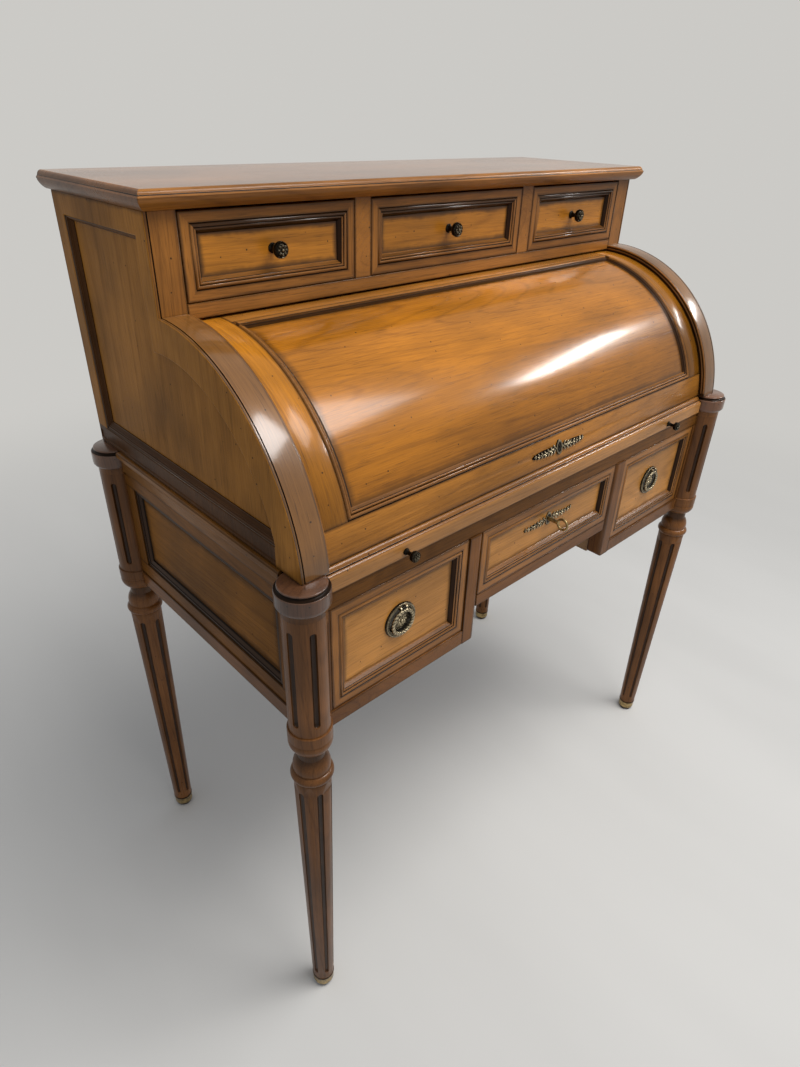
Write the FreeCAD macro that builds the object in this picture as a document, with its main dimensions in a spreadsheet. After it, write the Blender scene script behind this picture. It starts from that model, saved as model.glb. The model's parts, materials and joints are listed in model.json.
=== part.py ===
"""Cylinder desk: turned legs, a lower case round a kneehole, a rigid quarter-cylinder and an upper case.

Millimetres. +Z is up, the front faces -Y, and the origin is on the floor midway between the four legs.
"""
import FreeCAD
import Part
import Sketcher
import math
import os

SIZES = (
    # Legs
    ("leg_x", 442, "leg axis from the middle, sideways"),
    ("leg_y", 222, "leg axis from the middle, front to back"),
    ("case_bottom", 535, "floor to the underside of the lower case"),
    ("column_radius", 25, "fluted column beside the drawers"),
    ("cap_radius", 30.5, "turned cap on each column"),
    ("cap_height", 36, "turned cap"),
    ("collar_radius", 27, "collar under the column"),
    ("collar_drop", 13, "collar below the case"),
    ("neck_radius", 17, "waist between collar and ring"),
    ("neck_drop", 25, "narrowest part below the case"),
    ("ring_radius", 24.5, "ring on top of the taper"),
    ("ring_drop", 48, "top of the ring below the case"),
    ("ring_height", 13, "ring on top of the taper"),
    ("taper_top_radius", 23.5, "taper under its ring"),
    ("taper_foot_radius", 16, "taper at the sabot"),
    ("flute_radius", 4, "flutes of column and taper"),
    ("flute_foot_radius", 2.8, "flutes at the foot of the taper"),
    ("flute_margin", 18, "plain wood beyond each flute"),
    ("sabot_height", 24, "brass foot"),
    ("sabot_radius", 17, "bead of the brass foot"),
    ("sabot_tip_radius", 12, "brass foot on the floor"),
    ("spigot_radius", 10, "leg inside its sabot"),
    ("spigot_length", 15, "leg inside its sabot"),
    # Lower case
    ("joint_gap", 0.1, "between a board and the turned leg it meets"),
    ("front_proud", 2, "lower front before the leg axes"),
    ("side_proud", 2, "lower side outside the leg axes"),
    ("side_thickness", 33, "lower side frame"),
    ("base_rail_height", 23, "rail under the lower drawers"),
    ("base_rail_proud", 2, "base rail before the case"),
    ("rail_depth", 22, "front rails, front to back"),
    ("lower_drawer_height", 147, "left and right lower drawers"),
    ("centre_drawer_height", 99, "drawer over the kneehole"),
    ("knee_rail_height", 19, "rail under the centre drawer"),
    ("frieze_height", 24, "rail under the writing slide"),
    ("frieze_depth", 34, "rail under the writing slide"),
    ("knee_half_width", 158, "kneehole from the middle"),
    ("stile_width", 25, "pedestal stiles"),
    ("pedestal_side_thickness", 16, "inner side of each pedestal"),
    ("floor_thickness", 13, "floors under the drawers"),
    ("side_stile", 24, "stiles of the lower side frames"),
    ("side_rail", 22, "rails of the lower side frames"),
    ("panel_thickness", 9, "panels in the side frames"),
    ("panel_recess", 7, "panels behind the face of their frames"),
    ("lower_back_thickness", 9, "back of the lower case"),
    ("waist_proud", 8, "waist moulding outside the lower sides"),
    ("waist_moulding_height", 30, "waist moulding"),
    ("guide_height", 16, "strips beside the pedestal drawers"),
    # Writing slide
    ("slide_height", 27, "reeded front of the writing slide"),
    ("slide_front_depth", 16, "reeded front of the writing slide"),
    ("slide_front_proud", 3, "slide front before the lower front"),
    ("slide_flat", 15, "flat band under the reeds"),
    ("reed_radius", 6.5, "reeds of the slide front"),
    ("slide_board_thickness", 20, "writing board"),
    ("slide_board_gap", 7, "writing board beside the cheeks of the gallery"),
    ("slide_board_length", 350, "writing board behind its front"),
    ("slide_bed_thickness", 12, "fixed board under the writing board"),
    ("slide_knob_x", 300, "slide knobs from the middle"),
    ("slide_knob_radius", 7, "slide knobs"),
    ("slide_knob_length", 21, "slide knobs"),
    # Upper case and cylinder
    ("gable_proud", 5, "gable outside the leg axes"),
    ("gable_reach", 7.5, "front of the gable before the leg axes"),
    ("pivot_back", 8.5, "cylinder axis behind the leg middle"),
    ("pivot_drop", 21, "cylinder axis below the writing level"),
    ("rim_step", 10, "cylinder inside the rim of the gable"),
    ("cylinder_thickness", 16, "rails and stiles of the cylinder"),
    ("cylinder_low_angle", 5.6, "lower edge of the closed cylinder, degrees"),
    ("cylinder_high_angle", 96, "upper edge of the closed cylinder, degrees"),
    ("bottom_rail_angle", 15.2, "top of the cylinder's bottom rail, degrees"),
    ("top_rail_angle", 84.9, "bottom of the cylinder's top rail, degrees"),
    ("moulding_angle", 3, "moulding on the cylinder, degrees"),
    ("moulding_width", 12, "moulding on the cylinder"),
    ("moulding_sink", 1.5, "moulding below the cylinder's face"),
    ("cylinder_panel_sink", 5, "panel below the cylinder's face"),
    ("cylinder_panel_thickness", 9, "panel of the cylinder"),
    ("cylinder_stile", 38, "stiles of the cylinder"),
    ("cylinder_end_gap", 1, "cylinder beside each gable"),
    ("arm_thickness", 5.6, "quadrant arms"),
    ("arm_low_angle", 25, "quadrant arms, degrees"),
    ("arm_high_angle", 80, "quadrant arms, degrees"),
    ("hub_radius", 14, "boss of the quadrant arms"),
    ("hub_gap", 1, "round the bosses where the slide bed passes them"),
    ("pin_radius", 5, "pivot pins"),
    ("pin_fit", 0.05, "pivot pins in the arms, on the radius"),
    ("pin_seat", 13, "pivot pins in the lower sides"),
    ("sweep_gap", 3, "cylinder under and before the case that it turns into"),
    ("back_thickness", 6, "back of the upper case"),
    ("gable_back_stile", 26, "gable frame"),
    ("gable_front_stile", 24, "gable frame"),
    ("gable_top_rail", 26, "gable frame"),
    ("gable_bottom_rail", 26, "gable frame"),
    ("gable_arch_rail", 40, "gable frame"),
    ("case_rail_rise", 9.5, "rail above the top of the arch"),
    ("case_rail_depth", 20, "rail under the upper drawers"),
    ("upper_drawer_height", 91, "upper drawers"),
    ("upper_drawer_centre", 300, "middle upper drawer"),
    ("divider_width", 26, "dividers between the upper drawers"),
    ("top_gap", 3, "upper drawers under the slab"),
    # Top
    ("slab_thickness", 20, "top slab"),
    ("slab_side_reach", 11, "slab outside the gables"),
    ("slab_front_reach", 17, "slab before the upper drawers"),
    ("slab_edge", 5.5, "small round along the slab's top edge"),
    ("slab_sink", 2, "step under the small round"),
    ("slab_under", 9, "slab edge drawn in below"),
    # Drawers and hardware
    ("drawer_gap", 0.8, "round each drawer front"),
    ("run_gap", 0.3, "under each drawer box and the writing board"),
    ("front_thickness", 18, "drawer fronts"),
    ("front_frame", 13, "flat border of the drawer fronts"),
    ("front_moulding", 10.5, "moulding of the drawer fronts"),
    ("front_step", 3, "moulding below the border"),
    ("front_recess", 8, "panel below the border"),
    ("box_wall", 10, "drawer sides and backs"),
    ("box_floor", 6, "drawer bottoms"),
    ("box_side_gap", 2, "drawer boxes beside their fronts' ends"),
    ("box_top_gap", 14, "drawer boxes below the top of their fronts"),
    ("box_back_gap", 10, "drawer boxes before the back"),
    ("knob_radius", 9.5, "knobs of the upper drawers"),
    ("knob_length", 24, "knobs of the upper drawers"),
    ("plate_radius", 25, "back plates of the ring pulls"),
    ("plate_thickness", 3.5, "back plates of the ring pulls"),
    ("pull_radius", 16.5, "ring pulls, to the middle of the wire"),
    ("pull_wire", 2.6, "ring pulls"),
    ("pull_pin_radius", 1.3, "hinge pins of the ring pulls"),
    ("pull_pin_rise", 21, "hinge pins above the middle of their plates"),
    ("pull_hang", 5.1, "hinge pins above the ring pulls' wire"),
    ("pull_gap", 0.6, "ring pulls before their plates"),
    ("knuckle_half", 3.2, "knuckles of the ring pulls, from the middle"),
    ("ear_wall", 0.9, "ears round the hinge pins"),
    ("ear_width", 2.4, "ears beside the knuckles"),
    ("escutcheon_width", 116, "laurel escutcheons"),
    ("escutcheon_height", 22, "laurel escutcheons"),
    ("escutcheon_thickness", 2.4, "laurel escutcheons"),
    ("lock_width", 60, "locks"),
    ("lock_height", 34, "locks"),
    ("lock_depth", 11, "locks"),
    ("bolt_width", 16, "bolt of the drawer lock"),
    ("bolt_depth", 4, "bolt of the drawer lock"),
    ("bolt_height", 14, "bolt of the drawer lock"),
    ("bolt_lift", 4, "travel of the bolt"),
    ("bolt_gap", 0.5, "round the bolt"),
    ("key_drop", 40, "keyhole below the top of the centre drawer"),
    ("key_radius", 3, "key shank"),
    ("key_reach", 17, "key shank before the escutcheon"),
    ("key_bow_radius", 8, "key bow, to the middle of its wire"),
    ("key_bow_wire", 1.9, "key bow"),
    # Gallery
    ("gallery_gap", 5.4, "gallery beside the quadrant arms"),
    ("gallery_front", 20, "gallery behind the cylinder axis"),
    ("gallery_depth", 112, "gallery"),
    ("gallery_height", 100, "gallery above the writing level"),
    ("gallery_board", 8, "gallery boards"),
    ("gallery_cell", 130, "partitions from the middle"),
)


class Size:
    """A size that knows its number and the sheet formula that gives it."""

    def __init__(self, value, text):
        self.value = float(value)
        self.text = text

    def join(self, other, sign, value):
        return Size(value, "(%s %s %s)" % (self.text, sign, size(other).text))

    def __add__(self, other):
        return self.join(other, "+", self.value + size(other).value)

    def __radd__(self, other):
        return size(other) + self

    def __sub__(self, other):
        return self.join(other, "-", self.value - size(other).value)

    def __rsub__(self, other):
        return size(other) - self

    def __mul__(self, other):
        return self.join(other, "*", self.value * size(other).value)

    def __rmul__(self, other):
        return size(other) * self

    def __truediv__(self, other):
        return self.join(other, "/", self.value / size(other).value)

    def __neg__(self):
        return Size(-self.value, "(-1 * %s)" % self.text)


def size(value):
    """A plain number as a Size."""
    if isinstance(value, Size):
        return value
    return Size(value, "(%r)" % float(value))


def sine(angle):
    return Size(math.sin(math.radians(angle.value)), "sin(%s)" % angle.text)


def cosine(angle):
    return Size(math.cos(math.radians(angle.value)), "cos(%s)" % angle.text)


def root(square):
    return Size(math.sqrt(square.value), "sqrt(%s)" % square.text)


class Named:
    """The sheet's sizes, by alias."""


doc = FreeCAD.newDocument("cylinder_desk")
sheet = doc.addObject("Spreadsheet::Sheet", "Sizes")
S = Named()
for row, (alias, number, meaning) in enumerate(SIZES, start=1):
    sheet.set("A%d" % row, alias)
    sheet.set("B%d" % row, str(number))
    sheet.set("C%d" % row, meaning)
    sheet.setAlias("B%d" % row, alias)
    setattr(S, alias, Size(number, "Sizes." + alias))
doc.recompute()

NODES = {}


# Helpers

def bind(thing, prop, dim):
    """Sets a property and ties it to the sheet."""
    thing.setExpression(prop, size(dim).text)


def place(thing, x, y, z, axis=None, angle=0):
    """Puts a piece at a point, turned about an axis."""
    if axis is not None:
        thing.Placement.Rotation = FreeCAD.Rotation(FreeCAD.Vector(*axis), angle)
    bind(thing, "Placement.Base.x", x)
    bind(thing, "Placement.Base.y", y)
    bind(thing, "Placement.Base.z", z)


def node(label, *pieces):
    """Names one piece, or a group of separate pieces, as a sub-part."""
    piece = pieces[0]
    if len(pieces) > 1:
        piece = doc.addObject("Part::Compound", label + "_group")
        piece.Links = list(pieces)
    piece.Label = label
    NODES[label] = piece
    return piece


def board(name, x, y, z):
    """A board between pairs of faces."""
    solid = doc.addObject("Part::Box", name)
    bind(solid, "Length", x[1] - x[0])
    bind(solid, "Width", y[1] - y[0])
    bind(solid, "Height", z[1] - z[0])
    place(solid, x[0], y[0], z[0])
    return solid


def rod(name, radius, length, x, y, z, axis=None, angle=0):
    solid = doc.addObject("Part::Cylinder", name)
    bind(solid, "Radius", radius)
    bind(solid, "Height", length)
    place(solid, x, y, z, axis, angle)
    return solid


def cut(name, base, tool):
    result = doc.addObject("Part::Cut", name)
    result.Base = base
    result.Tool = tool
    return result


def fuse(name, *pieces):
    result = doc.addObject("Part::MultiFuse", name)
    result.Shapes = list(pieces)
    return result


def mirrored(side, near, far):
    """The two faces of a board that lies between near and far on one side of the middle."""
    if side > 0:
        return size(near), size(far)
    return -size(far), -size(near)


def sketch_on(body, plane, name):
    sketch = body.newObject("Sketcher::SketchObject", name)
    for feature in body.Origin.OriginFeatures:
        if feature.Role == plane:
            sketch.AttachmentSupport = [(feature, "")]
    sketch.MapMode = "FlatFace"
    return sketch


def arc_between(start, end, radius, turn):
    """The short arc from start to end; turn is 1 anticlockwise and -1 clockwise."""
    middle = (start + end) / 2
    chord = end - start
    rise = math.sqrt(max(radius * radius - chord.Length ** 2 / 4, 0))
    left = FreeCAD.Vector(-chord.y, chord.x, 0).normalize()
    centre = middle + left * rise * turn
    first, last = (start, end) if turn > 0 else (end, start)
    angles = [math.atan2(p.y - centre.y, p.x - centre.x) for p in (first, last)]
    circle = Part.Circle(centre, FreeCAD.Vector(0, 0, 1), radius)
    return Part.ArcOfCircle(circle, angles[0], angles[1])


def outline(sketch, corners):
    """Draws a closed outline tied to the sheet.

    A corner is (across, up), or (across, up, radius, turn) where an arc leads to it.
    """
    spots = [FreeCAD.Vector(size(c[0]).value, size(c[1]).value, 0) for c in corners]
    shapes = []
    ends = []
    for index, corner in enumerate(corners):
        start = spots[index - 1]
        end = spots[index]
        if len(corner) == 2:
            shapes.append(Part.LineSegment(start, end))
            ends.append((1, 2))
        else:
            turn = corner[3]
            shapes.append(arc_between(start, end, size(corner[2]).value, turn))
            ends.append((1, 2) if turn > 0 else (2, 1))
    sketch.addGeometry(shapes, False)
    rules = []
    ties = []
    for index, corner in enumerate(corners):
        after = (index + 1) % len(corners)
        rules.append(Sketcher.Constraint("Coincident", index, ends[index][1], after, ends[after][0]))
    for index, corner in enumerate(corners):
        for kind, dim in (("DistanceX", corner[0]), ("DistanceY", corner[1])):
            dim = size(dim)
            ties.append((len(rules), dim))
            rules.append(Sketcher.Constraint(kind, -1, 1, index, ends[index][1], dim.value))
        if len(corner) > 2:
            dim = size(corner[2])
            ties.append((len(rules), dim))
            rules.append(Sketcher.Constraint("Radius", index, dim.value))
    sketch.addConstraint(rules)
    for number, dim in ties:
        sketch.setExpression("Constraints[%d]" % number, dim.text)


def new_body(name):
    return doc.addObject("PartDesign::Body", name)


def turned(name, corners, x, y, z, axis=None, angle=0):
    """A turned piece: corners are (radius, height) round its own upright axis."""
    body = new_body(name)
    sketch = sketch_on(body, "XZ_Plane", name + "_profile")
    outline(sketch, corners)
    turning = body.newObject("PartDesign::Revolution", name + "_turning")
    turning.Profile = sketch
    turning.ReferenceAxis = (sketch, ["V_Axis"])
    turning.Angle = 360
    place(body, x, y, z, axis, angle)
    return body


def run_along_x(name, corners, x, y, z):
    """A strip with one section: corners are (back, up) from the point y, z."""
    body = new_body(name)
    sketch = sketch_on(body, "YZ_Plane", name + "_section")
    outline(sketch, corners)
    pad = body.newObject("PartDesign::Pad", name + "_length")
    pad.Profile = sketch
    bind(pad, "Length", x[1] - x[0])
    place(body, x[0], y, z)
    return body


def run_along_y(name, corners, x, y, z):
    """A strip with one section: corners are (right, up) from the point x, z."""
    body = new_body(name)
    sketch = sketch_on(body, "XZ_Plane", name + "_section")
    outline(sketch, corners)
    pad = body.newObject("PartDesign::Pad", name + "_length")
    pad.Profile = sketch
    pad.Reversed = True
    bind(pad, "Length", y[1] - y[0])
    place(body, x, y[0], z)
    return body


def rectangle(x, z):
    return [(x[0], z[0]), (x[1], z[0]), (x[1], z[1]), (x[0], z[1])]


def shrunk(span, inset):
    return span[0] + inset, span[1] - inset


# Levels and faces that the pieces share

base_rail_top = S.case_bottom + S.base_rail_height
lower_drawer_top = base_rail_top + S.drawer_gap + S.lower_drawer_height
frieze_bottom = lower_drawer_top + S.drawer_gap
frieze_top = frieze_bottom + S.frieze_height
slide_bottom = frieze_top + S.run_gap
slide_top = slide_bottom + S.slide_height
waist = slide_top + S.drawer_gap
front_y = -(S.leg_y + S.front_proud)
side_outer = S.leg_x + S.side_proud
side_inner = side_outer - S.side_thickness
lower_back_y = S.leg_y - S.lower_back_thickness
gable_outer = S.leg_x + S.gable_proud
gable_front = -(S.leg_y + S.gable_reach)
pivot_z = waist - S.pivot_drop
rim_radius = S.pivot_back - gable_front
arch_top = pivot_z + rim_radius
cylinder_radius = rim_radius - S.rim_step
cylinder_inner = cylinder_radius - S.cylinder_thickness
cylinder_half = side_inner - S.cylinder_end_gap
arm_near = cylinder_half - S.arm_thickness
gallery_half = arm_near - S.gallery_gap
gallery_inner = gallery_half - S.gallery_board
slide_board_half = gallery_inner - S.slide_board_gap
case_bottom_z = pivot_z + cylinder_radius + S.sweep_gap
case_front = S.pivot_back
case_back = S.pivot_back + cylinder_radius + S.sweep_gap
gable_back = case_back + S.back_thickness
case_rail_top = arch_top + S.case_rail_rise
upper_drawer_bottom = case_rail_top + S.drawer_gap
upper_drawer_top = upper_drawer_bottom + S.upper_drawer_height
slab_bottom = upper_drawer_top + S.top_gap
slab_top = slab_bottom + S.slab_thickness
cap_bottom = waist - S.cap_height
sides = (("left", -1), ("right", 1))
corners_of_desk = (
    ("front_left", -1, -1, 15),
    ("front_right", 1, -1, 45),
    ("back_left", -1, 1, 45),
    ("back_right", 1, 1, 15),
)


def axis_rod(name, radius, x):
    """A rod on the cylinder axis, between two faces."""
    return rod(name, radius, x[1] - x[0], x[0], S.pivot_back, pivot_z, (0, 1, 0), 90)


# Legs: one turning each, fluted, with a cap above and a brass sabot below

def flutes(body, name, top, foot, start_angle):
    """Six round-ended flutes; top and foot are (distance from the axis, height, radius)."""
    turn = size(start_angle)
    cutters = []
    sections = []
    for end, (reach, height, radius) in (("top", top), ("foot", foot)):
        x = reach * cosine(turn)
        y = reach * sine(turn)
        ball = body.newObject("PartDesign::SubtractiveSphere", "%s_%s_ball" % (name, end))
        bind(ball, "Radius", radius)
        place(ball, x, y, height)
        cutters.append(ball)
        circle = sketch_on(body, "XY_Plane", "%s_%s_section" % (name, end))
        bind(circle, "AttachmentOffset.Base.z", height)
        middle = FreeCAD.Vector(x.value, y.value, 0)
        circle.addGeometry(Part.Circle(middle, FreeCAD.Vector(0, 0, 1), radius.value), False)
        circle.addConstraint([
            Sketcher.Constraint("DistanceX", -1, 1, 0, 3, x.value),
            Sketcher.Constraint("DistanceY", -1, 1, 0, 3, y.value),
            Sketcher.Constraint("Radius", 0, radius.value),
        ])
        for number, dim in enumerate((x, y, radius)):
            circle.setExpression("Constraints[%d]" % number, dim.text)
        sections.append(circle)
    loft = body.newObject("PartDesign::SubtractiveLoft", name + "_channel")
    loft.Profile = sections[0]
    loft.Sections = [sections[1]]
    loft.Ruled = True
    cutters.append(loft)
    pattern = body.newObject("PartDesign::PolarPattern", name + "_pattern")
    pattern.Originals = cutters
    pattern.Axis = ([f for f in body.Origin.OriginFeatures if f.Role == "Z_Axis"][0], [""])
    pattern.Angle = 360
    pattern.Occurrences = 6
    body.Tip = pattern


def leg(name, x, y, start_angle):
    collar_low = S.case_bottom - S.collar_drop
    neck = S.case_bottom - S.neck_drop
    ring_top = S.case_bottom - S.ring_drop
    ring_low = ring_top - S.ring_height
    quirk = (S.ring_radius - S.taper_top_radius) * 2
    bell_radius = root((ring_top - neck) * (ring_top - neck) + (S.ring_radius - S.neck_radius) * 16)
    cove = S.collar_radius - S.neck_radius
    half_ring = S.ring_height / 2
    corners = [
        (size(0), S.sabot_height - S.spigot_length),
        (S.spigot_radius, S.sabot_height - S.spigot_length),
        (S.spigot_radius, S.sabot_height),
        (S.taper_foot_radius, S.sabot_height),
        (S.taper_top_radius, ring_low - quirk),
        (S.ring_radius - quirk, ring_low),
        (S.ring_radius - quirk, ring_top, half_ring * 1.08, 1),
        (S.neck_radius, neck, bell_radius, 1),
        (S.neck_radius, collar_low),
        (S.collar_radius - quirk / 2, collar_low + cove * 2, cove * 1.6, 1),
        (S.collar_radius, collar_low + cove * 2 + quirk / 2),
        (S.collar_radius, base_rail_top - quirk / 2),
        (S.collar_radius - quirk / 2, base_rail_top),
        (S.column_radius, base_rail_top),
        (S.column_radius, cap_bottom),
        (size(0), cap_bottom),
    ]
    body = turned(name, corners, x, y, size(0))
    flutes(
        body,
        name + "_column_flute",
        (S.column_radius, cap_bottom - S.flute_margin, S.flute_radius),
        (S.column_radius, base_rail_top + S.flute_margin, S.flute_radius),
        start_angle,
    )
    span = ring_low - quirk - S.sabot_height
    slope = (S.taper_top_radius - S.taper_foot_radius) / span
    flutes(
        body,
        name + "_taper_flute",
        (S.taper_top_radius - slope * S.flute_margin, ring_low - quirk - S.flute_margin, S.flute_radius),
        (S.taper_foot_radius + slope * S.flute_margin, S.sabot_height + S.flute_margin, S.flute_foot_radius),
        start_angle,
    )
    return body


def cap(name, x, y):
    """A flat band with a rounded shoulder above and a cove below."""
    shoulder = S.cap_height * 0.2
    groove = S.cap_height * 0.05
    low = S.cap_height * 0.28
    corners = [
        (size(0), size(0)),
        (S.column_radius, size(0)),
        (S.cap_radius - groove, low - groove, low, 1),
        (S.cap_radius, low),
        (S.cap_radius, S.cap_height - shoulder - groove),
        (S.cap_radius - groove, S.cap_height - shoulder),
        (S.cap_radius - shoulder, S.cap_height, shoulder * 1.1, 1),
        (size(0), S.cap_height),
    ]
    return turned(name, corners, x, y, cap_bottom)


def sabot(name, x, y):
    bead = S.sabot_height * 0.12
    socket = S.spigot_radius + S.joint_gap
    socket_floor = S.sabot_height - S.spigot_length
    corners = [
        (size(0), size(0)),
        (S.sabot_tip_radius - bead / 2, size(0)),
        (S.sabot_tip_radius, bead / 2, bead * 0.6, 1),
        (S.taper_foot_radius - bead / 3, S.sabot_height - bead * 2),
        (S.sabot_radius - bead / 3, S.sabot_height - bead * 2),
        (S.sabot_radius - bead / 3, S.sabot_height, bead * 1.05, 1),
        (socket, S.sabot_height),
        (socket, socket_floor),
        (size(0), socket_floor),
    ]
    return turned(name, corners, x, y, size(0))


caps = []
sabots = []
rooms = []
for place_name, along_x, along_y, start in corners_of_desk:
    axis_x = S.leg_x * along_x
    axis_y = S.leg_y * along_y
    node("leg_" + place_name, leg("leg_" + place_name, axis_x, axis_y, start))
    caps.append(cap("cap_" + place_name, axis_x, axis_y))
    sabots.append(sabot("sabot_" + place_name, axis_x, axis_y))
    for level, radius, low, high in (
        ("collar", S.collar_radius, S.case_bottom - S.neck_drop, base_rail_top + S.joint_gap),
        ("column", S.column_radius, base_rail_top, cap_bottom),
        ("cap", S.cap_radius, cap_bottom - S.joint_gap, waist),
    ):
        room = "room_%s_%s" % (level, place_name)
        rooms.append(rod(room, radius + S.joint_gap, high - low, axis_x, axis_y, low))
node("leg_caps", *caps)
node("leg_sabots", *sabots)
leg_rooms = fuse("leg_rooms", *rooms)


# Lower case

drawer_end = side_inner - S.box_side_gap
pedestal_inner = S.knee_half_width + S.stile_width
between_legs = (-S.leg_y, S.leg_y)
rail_back = front_y + S.rail_depth
frieze_back = front_y + S.frieze_depth
side_y = (frieze_back, lower_back_y)
base_pieces = []
stiles = []
pedestal_sides = []
pedestal_floors = []
guides = []
side_panels = []
waist_mouldings = []
for side_name, side in sides:
    frame_x = mirrored(side, side_inner, side_outer)
    frame_z = (base_rail_top, waist)
    panel_y = shrunk(between_legs, S.column_radius + S.side_stile)
    panel_z = (base_rail_top + S.side_rail, waist - S.waist_moulding_height - S.side_rail)
    frame = board("side_blank_" + side_name, frame_x, side_y, frame_z)
    window = board("side_window_" + side_name, frame_x, panel_y, panel_z)
    pin_hole_x = mirrored(side, side_inner, side_inner + S.pin_seat)
    pin_hole = axis_rod("pin_hole_" + side_name, S.pin_radius, pin_hole_x)
    openings = fuse("side_openings_" + side_name, window, pin_hole, leg_rooms)
    node("side_frame_" + side_name, cut("side_cut_" + side_name, frame, openings))
    panel_face = side_outer - S.panel_recess
    side_panels.append(board(
        "side_panel_" + side_name,
        mirrored(side, panel_face - S.panel_thickness, panel_face),
        panel_y,
        panel_z,
    ))
    rail_x = mirrored(side, side_inner, side_outer + S.base_rail_proud)
    rail_y = (rail_back, lower_back_y)
    rail = board("side_rail_blank_" + side_name, rail_x, rail_y, (S.case_bottom, base_rail_top))
    base_pieces.append(cut("side_rail_" + side_name, rail, leg_rooms))
    rail = board(
        "front_rail_blank_" + side_name,
        mirrored(side, pedestal_inner, S.leg_x),
        (front_y - S.base_rail_proud, rail_back),
        (S.case_bottom, base_rail_top),
    )
    base_pieces.append(cut("front_rail_" + side_name, rail, leg_rooms))
    stiles.append(board(
        "pedestal_stile_" + side_name,
        mirrored(side, S.knee_half_width, pedestal_inner),
        (front_y - S.base_rail_proud, rail_back),
        (S.case_bottom, frieze_bottom),
    ))
    strip = board(
        "end_stile_blank_" + side_name,
        mirrored(side, drawer_end + S.drawer_gap, S.leg_x),
        (front_y, frieze_back),
        (base_rail_top, frieze_bottom),
    )
    stiles.append(cut("end_stile_" + side_name, strip, leg_rooms))
    wall_far = S.knee_half_width + S.pedestal_side_thickness
    pedestal_sides.append(board(
        "pedestal_side_" + side_name,
        mirrored(side, S.knee_half_width, wall_far),
        (rail_back, lower_back_y),
        (S.case_bottom, frieze_bottom),
    ))
    pedestal_floors.append(board(
        "pedestal_floor_" + side_name,
        mirrored(side, wall_far, side_inner),
        (rail_back, lower_back_y),
        (base_rail_top - S.floor_thickness, base_rail_top),
    ))
    guides.append(board(
        "drawer_guide_" + side_name,
        mirrored(side, wall_far, pedestal_inner + S.box_side_gap / 2),
        (rail_back, lower_back_y),
        (base_rail_top, base_rail_top + S.guide_height),
    ))
    out = S.waist_proud * side
    moulding_high = S.waist_moulding_height
    section = [
        (size(0), size(0)),
        (out * 0.35, size(0)),
        (out * 0.35, moulding_high * 0.45),
        (out, moulding_high * 0.75, S.waist_proud * 1.6, -side),
        (out, moulding_high * 0.93),
        (out * 0.7, moulding_high),
        (size(0), moulding_high),
    ]
    moulding = run_along_y(
        "waist_blank_" + side_name,
        section,
        side_outer * side,
        between_legs,
        waist - moulding_high,
    )
    waist_mouldings.append(cut("waist_" + side_name, moulding, leg_rooms))
knee_floor_top = lower_drawer_top - S.centre_drawer_height - S.drawer_gap
base_pieces.append(board(
    "knee_rail",
    (-S.knee_half_width, S.knee_half_width),
    (front_y, rail_back),
    (knee_floor_top - S.knee_rail_height, knee_floor_top),
))
pedestal_floors.append(board(
    "knee_floor",
    (-S.knee_half_width, S.knee_half_width),
    (rail_back, lower_back_y),
    (knee_floor_top - S.floor_thickness, knee_floor_top),
))
node("side_panels", *side_panels)
node("base_and_knee_rails", *base_pieces)
node("front_stiles", *stiles)
node("pedestal_sides", *pedestal_sides)
node("drawer_floors", *pedestal_floors, *guides)
node("waist_mouldings", *waist_mouldings)

lock_face = front_y + S.front_thickness
bolt_front = lock_face + S.bolt_gap * 6
bolt_y = (bolt_front, bolt_front + S.bolt_depth)
bolt_x = (-S.bolt_width / 2, S.bolt_width / 2)
frieze_blank = board(
    "frieze_blank",
    (-S.leg_x, S.leg_x),
    (front_y, frieze_back),
    (frieze_bottom, frieze_top),
)
mortise = board(
    "frieze_mortise",
    shrunk(bolt_x, -S.bolt_gap),
    shrunk(bolt_y, -S.bolt_gap),
    (frieze_bottom, frieze_bottom + S.bolt_lift + S.bolt_gap),
)
node("frieze_rail", cut("frieze", frieze_blank, fuse("frieze_cuts", mortise, leg_rooms)))

back_blank = board(
    "lower_back_blank",
    (-S.leg_x, S.leg_x),
    (lower_back_y, S.leg_y),
    (S.case_bottom, waist - S.slide_board_thickness),
)
bridge = board(
    "waist_bridge",
    (-side_inner, side_inner),
    (lower_back_y, gable_back),
    (waist - S.slide_board_thickness, waist),
)
bridge_cut = cut("bridge_cut", bridge, leg_rooms)
node("lower_back", cut("lower_back_cut", back_blank, leg_rooms), bridge_cut)
bed_top = slide_top - S.slide_board_thickness - S.run_gap
bed_blank = board(
    "bed_blank",
    (-side_inner, side_inner),
    (frieze_back, lower_back_y),
    (bed_top - S.slide_bed_thickness, bed_top),
)
hub_rooms = []
for side_name, side in sides:
    room_x = mirrored(side, arm_near - S.hub_gap, side_inner)
    hub_rooms.append(axis_rod("hub_room_" + side_name, S.hub_radius + S.hub_gap, room_x))
node("slide_bed", cut("bed_cut", bed_blank, fuse("bed_rooms", leg_rooms, *hub_rooms)))


# Writing slide

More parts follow.
